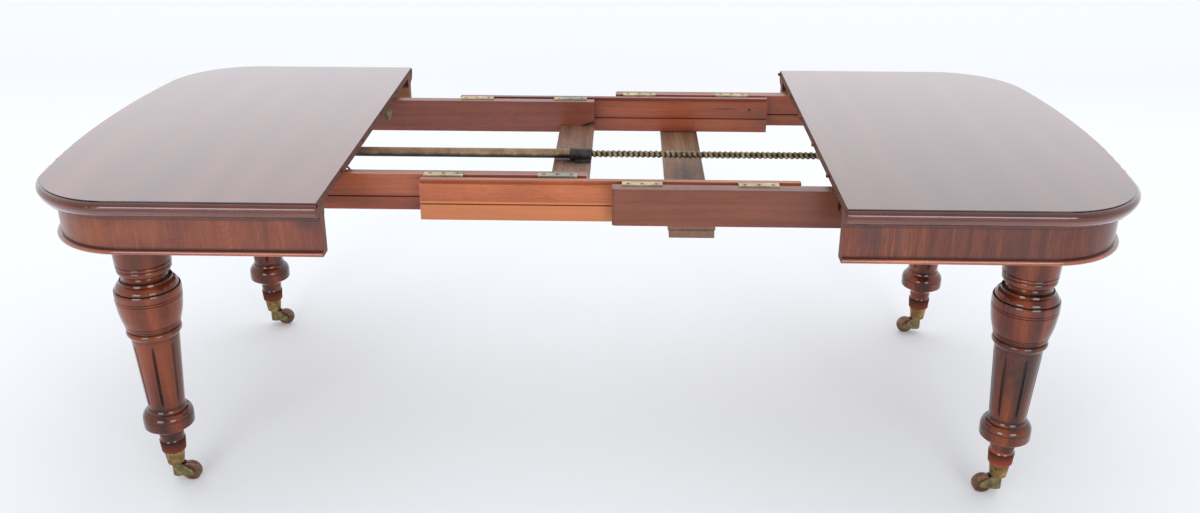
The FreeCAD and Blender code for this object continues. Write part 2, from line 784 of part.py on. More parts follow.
# Board under the outer slides on packing pieces, which ties them and passes under the nut board
lower_board_y = "(%s + sizes.lower_board_overhang)" % outer_face_far
node(
    box("lower_board", "(%s + sizes.lower_board_setback)" % outer_tip_x, "-" + lower_board_y,
        "(%s - sizes.lower_board_thickness)" % packer_bottom,
        "sizes.lower_board_width", "2 * " + lower_board_y, "sizes.lower_board_thickness"),
    "lower_board")
packer_x = "(%s + sizes.packer_setback)" % outer_tip_x
packers = [
    box("packer_front", packer_x, "-" + outer_face_far, packer_bottom,
        "sizes.packer_width", "sizes.outer_slide_thickness", "sizes.packer_thickness"),
    box("packer_back", packer_x, outer_face_near, packer_bottom,
        "sizes.packer_width", "sizes.outer_slide_thickness", "sizes.packer_thickness"),
]
node(group("lower_board_packers", packers), "lower_board_packers")

# Bearers under the tops near the ends: the left one holds the guard tube, the right one steadies the screw
bearer_bottom = "(%s - sizes.bearer_height)" % board_level
left_bearer_x = "(%s + sizes.bearer_end_inset)" % inner_start_x
right_bearer_x = "(%s - sizes.bearer_end_inset - sizes.bearer_thickness)" % outer_end_x
left_bearer_blank = box(
    "left_bearer_blank", left_bearer_x, "-" + inner_face_near, bearer_bottom,
    "sizes.bearer_thickness", "2 * " + inner_face_near, "sizes.bearer_height")
right_bearer_blank = box(
    "right_bearer_blank", right_bearer_x, "-" + outer_face_near, bearer_bottom,
    "sizes.bearer_thickness", "2 * " + outer_face_near, "sizes.bearer_height")
bearer_cut_length = "(sizes.bearer_thickness + 2 * sizes.cut_overrun)"
tube_seat = rod("tube_seat", "X", "sizes.tube_diameter", bearer_cut_length,
                x="(%s - sizes.cut_overrun)" % left_bearer_x, z=screw_level)
steady_hole = rod("steady_hole", "X", "(sizes.screw_diameter + 2 * sizes.steady_clearance)",
                  bearer_cut_length, x="(%s - sizes.cut_overrun)" % right_bearer_x, z=screw_level)
node(cut("left_bearer", left_bearer_blank, tube_seat), "left_bearer")
node(cut("right_bearer", right_bearer_blank, steady_hole), "right_bearer")

# Nut: an iron casting with a foot on the board and a socket for the end of the guard tube
nut_end_x = "(%s + sizes.nut_overhang)" % inner_tip_x
nut_start_x = "(%s - sizes.nut_length)" % nut_end_x
socket_start_x = "(%s - sizes.socket_length)" % nut_start_x
casting_length = "(sizes.nut_length + sizes.socket_length)"
nut_barrel = rod("nut_barrel", "X", "sizes.nut_diameter", "sizes.nut_length", x=nut_start_x, z=screw_level)
nut_socket = rod("nut_socket", "X", "sizes.socket_diameter", "sizes.socket_length",
                 x=socket_start_x, z=screw_level)
nut_foot = box("nut_foot", nut_start_x, "-sizes.nut_foot_width / 2", nut_board_top,
               "sizes.nut_length - sizes.nut_overhang", "sizes.nut_foot_width", "sizes.nut_foot_thickness")
nut_web = box("nut_web", nut_start_x, "-sizes.nut_web_width / 2", nut_board_top,
              "sizes.nut_length - sizes.nut_overhang", "sizes.nut_web_width",
              "%s - %s" % (screw_level, nut_board_top))
nut_blank = fuse("nut_blank", [nut_barrel, nut_socket, nut_foot, nut_web])
nut_floor = box("nut_floor", "(%s - sizes.cut_overrun)" % socket_start_x, "-sizes.nut_foot_width",
                "(%s - sizes.cut_overrun)" % nut_board_top,
                "%s + 2 * sizes.cut_overrun" % casting_length, "2 * sizes.nut_foot_width",
                "sizes.cut_overrun")
nut_bore = rod("nut_bore", "X", "(sizes.screw_diameter + 2 * sizes.running_clearance)",
               "%s + 2 * sizes.cut_overrun" % casting_length,
               x="(%s - sizes.cut_overrun)" % socket_start_x, z=screw_level)
socket_bore = rod("socket_bore", "X", "sizes.tube_diameter", "sizes.socket_length + sizes.cut_overrun",
                  x="(%s - sizes.cut_overrun)" % socket_start_x, z=screw_level)
nut_cutters = fuse("nut_cutters", [nut_bore, socket_bore, nut_floor])
node(cut("screw_nut", nut_blank, nut_cutters), "screw_nut")

# Guard tube, which takes the screw as the table is wound in
tube_start_x = left_bearer_x
tube_length = "(%s - %s)" % (nut_start_x, tube_start_x)
tube_blank = rod("tube_blank", "X", "sizes.tube_diameter", tube_length, x=tube_start_x, z=screw_level)
tube_hollow = rod("tube_hollow", "X", "sizes.tube_bore", "%s + 2 * sizes.cut_overrun" % tube_length,
                  x="(%s - sizes.cut_overrun)" % tube_start_x, z=screw_level)
node(cut("guard_tube", tube_blank, tube_hollow), "guard_tube")

# Thrust bearing on the outer face of the right bearer
thrust_plate_x = "(%s + sizes.bearer_thickness)" % right_bearer_x
thrust_boss_x = "(%s + sizes.thrust_plate_thickness)" % thrust_plate_x
thrust_end_x = "(%s + sizes.thrust_boss_length)" % thrust_boss_x
thrust_plate = box("thrust_plate", thrust_plate_x, "-sizes.thrust_plate_side / 2",
                   "(%s - sizes.thrust_plate_side / 2)" % screw_level,
                   "sizes.thrust_plate_thickness", "sizes.thrust_plate_side", "sizes.thrust_plate_side")
thrust_boss = rod("thrust_boss", "X", "sizes.thrust_boss_diameter", "sizes.thrust_boss_length",
                  x=thrust_boss_x, z=screw_level)
thrust_blank = fuse("thrust_blank", [thrust_plate, thrust_boss])
journal_hole = rod("journal_hole", "X", "(sizes.journal_diameter + 2 * sizes.running_clearance)",
                   "%s - %s + 2 * sizes.cut_overrun" % (thrust_end_x, thrust_plate_x),
                   x="(%s - sizes.cut_overrun)" % thrust_plate_x, z=screw_level)
node(cut("thrust_bearing", thrust_blank, journal_hole), "thrust_bearing")

# Lead screw, turned down to a journal and squared for the winding key
screw_start_x = "(-sizes.screw_free_end)"
shoulder = "(%s - sizes.thrust_clearance - %s)" % (thrust_plate_x, screw_start_x)
collar_x = "(%s + sizes.thrust_clearance)" % thrust_end_x
journal_end = "(%s + sizes.collar_length - %s)" % (collar_x, screw_start_x)
screw_radius = "(sizes.screw_diameter / 2)"
journal_radius = "(sizes.journal_diameter / 2)"
screw_body = new_body("lead_screw")
screw_outline = [
    ("0", "0"),
    (journal_end, "0"),
    (journal_end, journal_radius),
    (shoulder, journal_radius),
    (shoulder, screw_radius),
    ("0", screw_radius),
]
screw_sketch = body_sketch(screw_body, "screw_outline", "XZ", screw_outline)
turned(screw_body, "screw_shaft", screw_sketch, "H_Axis")
key_half = "(sizes.key_square_side / 2)"
key_sketch = body_sketch(
    screw_body, "key_square_outline", "YZ",
    rectangle("-" + key_half, "-" + key_half, key_half, key_half), offset=journal_end)
pad(screw_body, "key_square", key_sketch, "sizes.key_square_length")
place(screw_body, x=screw_start_x, z=screw_level)
node(screw_body, "lead_screw")
collar_blank = rod("collar_blank", "X", "sizes.collar_diameter", "sizes.collar_length",
                   x=collar_x, z=screw_level)
collar_hole = rod("collar_hole", "X", "sizes.journal_diameter",
                  "sizes.collar_length + 2 * sizes.cut_overrun",
                  x="(%s - sizes.cut_overrun)" % collar_x, z=screw_level)
node(cut("screw_collar", collar_blank, collar_hole), "screw_collar")

# Legs: turned, with a fluted shaft and a foot that enters the castor cup.
# Radii are shares of the bulb's radius, heights are shares of the height under the apron,
# and the third value is the bulge of the arc down to the next point.
leg_turning_shares = [
    (0.834, 1.0000, 0),
    (0.834, 0.8995, 0),
    (0.806, 0.8970, 0),
    (0.820, 0.8945, -0.35),
    (0.812, 0.8845, 0),
    (0.796, 0.8825, 0),
    (0.812, 0.8800, -0.42),
    (0.665, 0.8530, 0),
    (0.625, 0.8490, 0),
    (0.650, 0.8400, 0),
    (0.780, 0.8350, 0),
    (0.795, 0.8280, -0.3),
    (0.985, 0.8000, 0),
    (0.997, 0.7965, 0),
    (1.000, 0.7680, 0),
    (0.983, 0.7400, 0),
    (0.930, 0.7050, 0),
    (0.863, 0.6700, 0),
    (0.815, 0.6495, 0),
    (0.765, 0.6480, 0),
    (0.765, 0.6440, 0),
    (0.805, 0.6430, -0.5),
    (0.770, 0.6205, 0),
    (0.734, 0.6120, 0),
    (0.570, 0.3265, 0),
    (0.606, 0.3220, 0),
    (0.618, 0.3120, -0.28),
    (0.785, 0.2840, 0),
    (0.790, 0.2805, 0),
    (0.790, 0.2480, -0.33),
    (0.400, 0.2010, 0),
    (0.362, 0.1880, 0),
    (0.392, 0.1785, 0),
    (0.365, 0.1329, 0),
]
shaft_top_shares = (0.734, 0.6120)
shaft_foot_shares = (0.570, 0.3265)
flute_end_share = 0.05


def leg_point(radius_share, height_share):
    return ("(sizes.leg_bulb_radius * %s)" % radius_share, "(%s * %s)" % (apron_level, height_share))


def leg_outline():
    """Profile from the middle of the dowel, down the turning, to the foot in the cup."""
    dowel_radius = "(sizes.leg_dowel_diameter / 2)"
    dowel_top = "(%s + sizes.leg_dowel_length)" % apron_level
    outline = [("0", dowel_top), (dowel_radius, dowel_top), (dowel_radius, apron_level)]
    for radius_share, height_share, bulge in leg_turning_shares:
        corner = leg_point(radius_share, height_share)
        outline.append(corner + (bulge,) if bulge else corner)
    cup_height = "(sizes.cup_top_level - sizes.cup_bottom_level)"
    taper = "((sizes.cup_top_radius - sizes.cup_bottom_radius) / %s)" % cup_height
    spigot_bottom = "(sizes.cup_bottom_level + sizes.cup_floor + sizes.spigot_clearance)"
    spigot_top_radius = "(sizes.cup_top_radius - sizes.cup_wall - sizes.spigot_clearance)"
    spigot_depth = "(sizes.cup_top_level - %s)" % spigot_bottom
    spigot_low_radius = "(%s - %s * %s)" % (spigot_top_radius, taper, spigot_depth)
    outline[-1] = (outline[-1][0], "sizes.cup_top_level")
    return outline + [
        (spigot_top_radius, "sizes.cup_top_level"),
        (spigot_low_radius, spigot_bottom),
        ("0", spigot_bottom),
    ]


def flute_outline():
    """Long section of one flute, open beyond the shaft and closed short of its ends."""
    top_radius, top_height = leg_point(*shaft_top_shares)
    foot_radius, foot_height = leg_point(*shaft_foot_shares)
    span = "(%s - %s)" % (top_height, foot_height)
    high = "(%s - %s * %s)" % (top_height, span, flute_end_share)
    low = "(%s + %s * %s)" % (foot_height, span, flute_end_share)
    return [
        ("(%s - sizes.flute_depth)" % foot_radius, low),
        ("(%s + sizes.flute_depth)" % foot_radius, low),
        ("(%s + sizes.flute_depth)" % top_radius, high),
        ("(%s - sizes.flute_depth)" % top_radius, high),
    ]


def leg(label, side_x, side_y):
    body = new_body(label)
    profile = body_sketch(body, label + "_profile", "XZ", leg_outline())
    turned(body, label + "_turning", profile, "V_Axis")
    flute = body_sketch(body, label + "_flute_outline", "XZ", flute_outline())
    channel = grooved(body, label + "_flute", flute, "V_Axis", "sizes.flute_angle")
    flutes = body.newObject("PartDesign::PolarPattern", label + "_flutes")
    flutes.Originals = [channel]
    flutes.Axis = (flute, ["V_Axis"])
    flutes.Angle = 360
    flutes.setExpression("Occurrences", "sizes.flute_count")
    body.Tip = flutes
    place(body, x="%d * %s" % (side_x, leg_x), y="%d * %s" % (side_y, leg_y))
    body.setExpression("Placement.Rotation.Angle", "sizes.flute_turn")
    return node(body, label)


corners = (
    ("left_front", -1, -1),
    ("left_back", -1, 1),
    ("right_front", 1, -1),
    ("right_back", 1, 1),
)
for word, side_x, side_y in corners:
    leg(word + "_leg", side_x, side_y)

# Blocks in the corners of the apron, which take the dowels of the legs
block_width = "(%s - %s)" % (apron_inner_y, leg_block_inner_face)
block_blank = box(
    "leg_block_blank", "(%s - sizes.leg_block_length / 2)" % leg_x, leg_block_inner_face,
    apron_level, "sizes.leg_block_length", block_width, "%s - %s" % (board_level, apron_level))
block_hole = rod(
    "leg_dowel_hole", "Z", "sizes.leg_dowel_diameter", "sizes.leg_dowel_length + sizes.cut_overrun",
    x=leg_x, y=leg_y, z="(%s - sizes.cut_overrun)" % apron_level)
block_bored = cut("leg_block_bored", block_blank, block_hole)
block_fitted = cut("leg_block_fitted", block_bored, end_apron)
right_back_block = cut("right_back_block", block_fitted, right_lipping)
right_front_block = mirrored("right_front_block", right_back_block, across)
right_blocks = node(group("right_leg_blocks", [right_front_block, right_back_block]), "right_leg_blocks")
node(mirrored("left_leg_blocks", right_blocks, along), "left_leg_blocks")

# Castors: a brass cup on the leg, a horn that swivels in it and a brass wheel
pivot_bore_radius = "(sizes.pivot_diameter / 2 + sizes.running_clearance)"
wheel_level = "(sizes.wheel_diameter / 2)"
horn_top = "(sizes.cup_bottom_level - sizes.horn_clearance)"
arm_near = "(sizes.wheel_width / 2 + sizes.wheel_side_clearance)"
arm_far = "(%s + sizes.horn_arm_thickness)" % arm_near


def castor_cup(label, side_x, side_y):
    body = new_body(label)
    floor_level = "(sizes.cup_bottom_level + sizes.cup_floor)"
    cup_height = "(sizes.cup_top_level - sizes.cup_bottom_level)"
    slope = "((sizes.cup_top_radius - sizes.cup_bottom_radius) / %s)" % cup_height
    inner_top = "(sizes.cup_top_radius - sizes.cup_wall)"
    inner_low = "(%s - %s * (sizes.cup_top_level - %s))" % (inner_top, slope, floor_level)
    outline = [
        (pivot_bore_radius, "sizes.cup_bottom_level"),
        ("sizes.cup_bottom_radius", "sizes.cup_bottom_level"),
        ("sizes.cup_top_radius", "sizes.cup_top_level"),
        (inner_top, "sizes.cup_top_level"),
        (inner_low, floor_level),
        (pivot_bore_radius, floor_level),
    ]
    profile = body_sketch(body, label + "_profile", "XZ", outline)
    turned(body, label + "_turning", profile, "V_Axis")
    place(body, x="%d * %s" % (side_x, leg_x), y="%d * %s" % (side_y, leg_y))
    return node(body, label)


def arm_outline(trail):
    """Side view of one arm, from the hub to the eye round the axle."""
    hub_edge = "(%s * sizes.horn_hub_radius / 4)" % trail
    axle_x = "(%s * sizes.horn_trail)" % trail
    arm_bottom = "(%s - sizes.horn_eye_radius)" % wheel_level
    bend = 1 if trail == "1" else -1
    return [
        (hub_edge, "sizes.horn_hub_bottom"),
        (axle_x, arm_bottom, bend),
        (axle_x, "(%s + sizes.horn_eye_radius)" % wheel_level, 0.2 * bend),
        (hub_edge, horn_top),
    ]


def castor_horn(label, side_x, side_y):
    """Hub and pivot under the cup, with two arms that trail towards the middle of the table."""
    trail = "1" if side_x < 0 else "-1"
    axis_x = "(%d * %s)" % (side_x, leg_x)
    axis_y = "(%d * %s)" % (side_y, leg_y)
    axle_x = "(%s + %s * sizes.horn_trail)" % (axis_x, trail)
    hub = rod(label + "_hub", "Z", "(2 * sizes.horn_hub_radius)", "%s - sizes.horn_hub_bottom" % horn_top,
              x=axis_x, y=axis_y, z="sizes.horn_hub_bottom")
    pivot = rod(label + "_pivot", "Z", "sizes.pivot_diameter", "sizes.pivot_length + sizes.horn_clearance",
                x=axis_x, y=axis_y, z=horn_top)
    arms = []
    for word, start in (("near", "-" + arm_near), ("far", arm_far)):
        sketch = free_sketch("%s_%s_arm_outline" % (label, word), "XZ", arm_outline(trail),
                             x=axis_x, y="(%s + %s)" % (axis_y, start))
        arms.append(extrude("%s_%s_arm" % (label, word), sketch, "sizes.horn_arm_thickness"))
    blank = fuse(label + "_blank", [hub] + arms)
    room = rod(label + "_wheel_room", "Y", "(sizes.wheel_diameter + 2 * sizes.horn_wheel_clearance)",
               "2 * " + arm_near, x=axle_x, y="(%s - %s)" % (axis_y, arm_near), z=wheel_level)
    forked = cut(label + "_fork", blank, room)
    axle = rod(label + "_axle", "Y", "sizes.axle_diameter", "2 * " + arm_far,
               x=axle_x, y="(%s - %s)" % (axis_y, arm_far), z=wheel_level)
    return node(fuse(label, [forked, pivot, axle]), label)


def castor_wheel(label, side_x, side_y):
    trail = "1" if side_x < 0 else "-1"
    body = new_body(label)
    half_width = "(sizes.wheel_width / 2)"
    face = "(%s - sizes.wheel_recess_depth)" % half_width
    rim = "(sizes.wheel_diameter / 2)"
    rim_inner = "(%s - 2 * sizes.wheel_rim_radius)" % rim
    crown = "(%s - sizes.wheel_rim_radius)" % half_width
    hub_radius = "sizes.axle_diameter"
    bore = "(sizes.axle_diameter / 2 + sizes.running_clearance)"
    outline = [
        (bore, "-" + half_width),
        (hub_radius, "-" + half_width),
        (hub_radius, "-" + face),
        (rim_inner, "-" + face),
        (rim_inner, "-" + half_width),
        ("(%s - sizes.wheel_rim_radius)" % rim, "-" + half_width, 0.414),
        (rim, "-" + crown),
        (rim, crown, 0.414),
        ("(%s - sizes.wheel_rim_radius)" % rim, half_width),
        (rim_inner, half_width),
        (rim_inner, face),
        (hub_radius, face),
        (hub_radius, half_width),
        (bore, half_width),
    ]
    profile = body_sketch(body, label + "_profile", "XY", outline)
    turned(body, label + "_turning", profile, "V_Axis")
    wheel_x = "(%d * %s + %s * sizes.horn_trail)" % (side_x, leg_x, trail)
    place(body, x=wheel_x, y="%d * %s" % (side_y, leg_y), z=wheel_level)
    return node(body, label)


for word, side_x, side_y in corners:
    castor_cup(word + "_castor_cup", side_x, side_y)
    castor_horn(word + "_castor_horn", side_x, side_y)
    castor_wheel(word + "_castor_wheel", side_x, side_y)

# Leaf clip: a spade of brass that hangs under the meeting edge of the left top
clip_x = "(-%s - sizes.clip_setback)" % half_gap
clip_y = "(%s - sizes.clip_slide_gap)" % inner_face_near
clip_half = "(sizes.clip_width / 2)"
clip_neck = "(sizes.clip_width / 4)"
clip_foot = box("clip_foot", "(%s - sizes.clip_foot_length)" % clip_x,
                "(%s - %s)" % (clip_y, clip_half), "(%s - sizes.clip_thickness)" % board_level,
                "sizes.clip_foot_length", "sizes.clip_width", "sizes.clip_thickness")
clip_blade_outline = [
    ("(%s - %s)" % (clip_y, clip_neck), "(%s - sizes.clip_length)" % board_level, 0.6),
    ("(%s + %s)" % (clip_y, clip_neck), "(%s - sizes.clip_length)" % board_level, 0.1),
    ("(%s + %s)" % (clip_y, clip_half), board_level),
    ("(%s - %s)" % (clip_y, clip_half), board_level, 0.1),
]
clip_blade_sketch = free_sketch("clip_blade_outline", "YZ", clip_blade_outline, x=clip_x)
clip_blade = extrude("clip_blade", clip_blade_sketch, "sizes.clip_thickness")
node(fuse("leaf_clip", [clip_foot, clip_blade]), "leaf_clip")

# Hook: a bent iron strip under the same edge, beside the front inner slide
hook_x = "(-%s - sizes.hook_inset)" % half_gap
hook_y = "(sizes.hook_slide_gap - %s)" % inner_face_near
hook_low = "(%s - sizes.hook_drop_length)" % board_level
hook_section = [
    ("-sizes.hook_foot_length", "(%s - sizes.hook_thickness)" % board_level),
    ("0", "(%s - sizes.hook_thickness)" % board_level),
    ("(sizes.hook_drop_length / 2)", hook_low),
    ("(sizes.hook_drop_length / 2 + sizes.hook_thickness)", hook_low),
    ("sizes.hook_thickness", board_level),
    ("-sizes.hook_foot_length", board_level),
]
hook_sketch = free_sketch("hook_section", "XZ", hook_section, x=hook_x, y=hook_y)
node(extrude("edge_hook", hook_sketch, "sizes.hook_width"), "edge_hook")

document.recompute()

# Every object must have computed, and every piece must be a sound solid, before it is written
faults = [item.Name for item in document.Objects if {"Invalid", "Error"} & set(item.State)]
for item in nodes:
    shape = item.Shape
    if shape.isNull() or not shape.isValid() or not shape.Solids:
        faults.append(item.Label)
if faults:
    raise RuntimeError("These did not build: " + ", ".join(faults))

os.makedirs("parts", exist_ok=True)
for item in nodes:
    item.Shape.exportStep("parts/%s.step" % item.Label)
    bounds = item.Shape.BoundBox
    print("%-26s %2d solids %10.0f mm3  x %8.1f %8.1f  y %7.1f %7.1f  z %6.1f %6.1f" % (
        item.Label, len(item.Shape.Solids), item.Shape.Volume,
        bounds.XMin, bounds.XMax, bounds.YMin, bounds.YMax, bounds.ZMin, bounds.ZMax))
print(len(nodes), "pieces")
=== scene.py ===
import bpy
import bmesh
import math
from mathutils import Matrix, Vector


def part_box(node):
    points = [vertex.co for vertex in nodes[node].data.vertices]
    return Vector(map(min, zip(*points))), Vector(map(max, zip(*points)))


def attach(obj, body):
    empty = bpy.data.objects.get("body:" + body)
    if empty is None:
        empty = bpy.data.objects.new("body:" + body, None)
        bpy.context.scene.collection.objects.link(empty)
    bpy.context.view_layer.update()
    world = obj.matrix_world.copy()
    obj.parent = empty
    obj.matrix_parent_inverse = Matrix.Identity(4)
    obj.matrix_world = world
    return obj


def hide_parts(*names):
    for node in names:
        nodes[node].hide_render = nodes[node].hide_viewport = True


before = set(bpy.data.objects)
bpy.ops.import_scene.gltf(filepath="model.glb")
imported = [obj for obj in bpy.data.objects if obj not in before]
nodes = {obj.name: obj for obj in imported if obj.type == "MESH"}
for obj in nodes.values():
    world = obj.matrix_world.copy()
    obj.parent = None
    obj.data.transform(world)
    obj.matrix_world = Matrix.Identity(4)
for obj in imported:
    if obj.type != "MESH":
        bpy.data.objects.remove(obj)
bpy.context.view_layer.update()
mm = 0.001
corners = ["left_front", "left_back", "right_front", "right_back"]
print("frame loaded,", len(nodes), "nodes")


# colours and material helpers

def shade(red, green, blue):
    # screen colour to the linear colour that a shader takes
    def linear(value):
        value = value / 255
        return value / 12.92 if value <= 0.04045 else ((value + 0.055) / 1.055) ** 2.4
    return (linear(red), linear(green), linear(blue), 1.0)


class Finish:
    # one material with its node tree, and short ways to add nodes to it
    def __init__(self, name):
        self.material = bpy.data.materials.new(name)
        self.material.use_nodes = True
        self.nodes = self.material.node_tree.nodes
        self.links = self.material.node_tree.links
        self.shader = self.nodes["Principled BSDF"]
        self.place = self.nodes.new("ShaderNodeTexCoord").outputs["Object"]
        self.level = self.parts(self.place)

    def put(self, value, socket):
        # a link where the value is a socket, a plain setting where it is a number or colour
        if hasattr(value, "links"):
            self.links.new(value, socket)
        else:
            socket.default_value = value

    def add(self, kind, inputs, settings=None):
        node = self.nodes.new(kind)
        for key, value in (settings or {}).items():
            setattr(node, key, value)
        for key, value in inputs.items():
            self.put(value, node.inputs[key])
        return node

    def mapped(self, vector, scale=(1, 1, 1), move=(0, 0, 0)):
        inputs = {"Vector": vector, "Scale": scale, "Location": move}
        return self.add("ShaderNodeMapping", inputs).outputs[0]

    def centred(self, at, size):
        # 0 at one place, 1 at the given distances from it
        return self.mapped(self.place, [1 / length for length in size],
                           [-where / length for where, length in zip(at, size)])

    def clouds(self, vector, scale, detail, rough, bend=0.0):
        return self.add("ShaderNodeTexNoise", {"Vector": vector, "Scale": scale, "Detail": detail,
                                               "Roughness": rough, "Distortion": bend}).outputs["Fac"]

    def calc(self, kind, a, b, clamp=False):
        return self.add("ShaderNodeMath", {0: a, 1: b}, {"operation": kind, "use_clamp": clamp}).outputs[0]

    def spread(self, value, low, high, outLow=0.0, outHigh=1.0):
        inputs = {"Value": value, "From Min": low, "From Max": high, "To Min": outLow, "To Max": outHigh}
        return self.add("ShaderNodeMapRange", inputs, {"clamp": True}).outputs[0]

    def ramp(self, value, stops):
        node = self.add("ShaderNodeValToRGB", {"Fac": value})
        band = node.color_ramp
        while len(band.elements) < len(stops):
            band.elements.new(0.5)
        for element, (where, colour) in zip(band.elements, stops):
            element.position = where
            element.color = colour
        return node.outputs["Color"]

    def mixed(self, factor, a, b):
        return self.add("ShaderNodeMix", {0: factor, 6: a, 7: b}, {"data_type": "RGBA"}).outputs[2]

    def between(self, factor, a, b):
        # a number that goes from a to b
        return self.add("ShaderNodeMix", {0: factor, 2: a, 3: b}, {"data_type": "FLOAT"}).outputs[0]

    def parts(self, vector):
        return self.add("ShaderNodeSeparateXYZ", {0: vector}).outputs

    def facing(self, axis):
        # 1 where the surface looks along the axis, which is where end grain shows
        normal = self.add("ShaderNodeNewGeometry", {}).outputs["Normal"]
        return self.spread(self.calc("ABSOLUTE", self.parts(normal)[axis], 0.0), 0.75, 0.95)

    def cutEnd(self, gapHalf):
        # 1 on the sawn faces at the leaf gap
        across = self.calc("ABSOLUTE", self.level[0], 0.0)
        near = self.spread(across, gapHalf, gapHalf + woodRules["sawnFade"], 1.0, 0.0)
        return self.calc("MULTIPLY", self.facing(0), near)

    def band(self, look):
        # 1 between two heights, faded over a short way
        soft = look.get("soft", 0.0003)
        above = self.spread(self.level[2], look["from"] - soft, look["from"])
        below = self.spread(self.level[2], look["to"], look["to"] + soft, look["amount"], 0.0)
        return self.calc("MULTIPLY", above, below)

    def patch(self, colour, look):
        # a darker or paler patch round one place, broken up by clouds
        ball = self.add("ShaderNodeTexGradient", {"Vector": self.centred(look["at"], look["size"])},
                        {"gradient_type": "SPHERICAL"}).outputs["Fac"]
        broken = self.calc("MULTIPLY", ball, self.clouds(self.place, look.get("scale", 40), 4.0, 0.6))
        amount = self.spread(broken, 0.12, look.get("full", 0.42), 0.0, look["amount"])
        return self.mixed(amount, colour, look["colour"])

    def grimeAndShade(self, colour, look):
        # dark polish together with painted shade in the cut lines, hollows and corners, read from the
        # mesh's attribute
        mask = self.add("ShaderNodeAttribute", {}, {"attribute_name": "grimeAndShade"}).outputs["Fac"]
        return self.mixed(self.calc("MULTIPLY", mask, look["grimeAndShade"], True), colour, look["grimeAndShadeColour"])

    def bump(self, height, strength, distance):
        node = self.add("ShaderNodeBump", {"Height": height, "Strength": strength, "Distance": distance})
        self.links.new(node.outputs[0], self.shader.inputs["Normal"])

    def finish(self, colour, roughness, fixed):
        self.put(colour, self.shader.inputs["Base Color"])
        self.put(roughness, self.shader.inputs["Roughness"])
        for key, value in fixed.items():
            self.put(value, self.shader.inputs[key])
        return self.material


alongStretch = {"x": 0, "y": 1, "z": 2}

# what all the timbers share; lengths in metres
woodRules = {
    "fineStretch": 0.03, "fineTimes": 6, "poreStretch": 0.045, "poreFade": 0.07, "poreDip": -0.6,
    "figureScale": 0.314, "figureReach": 3, "endDots": 900, "sheenScale": 9,
    "bareFade": 0.001, "bareRough": 0.6, "gapHalf": 0.5175, "sawnFade": 0.0008, "sawnScale": 160,
    "sawnRough": 0.8, "bumpReach": 0.0006,
}


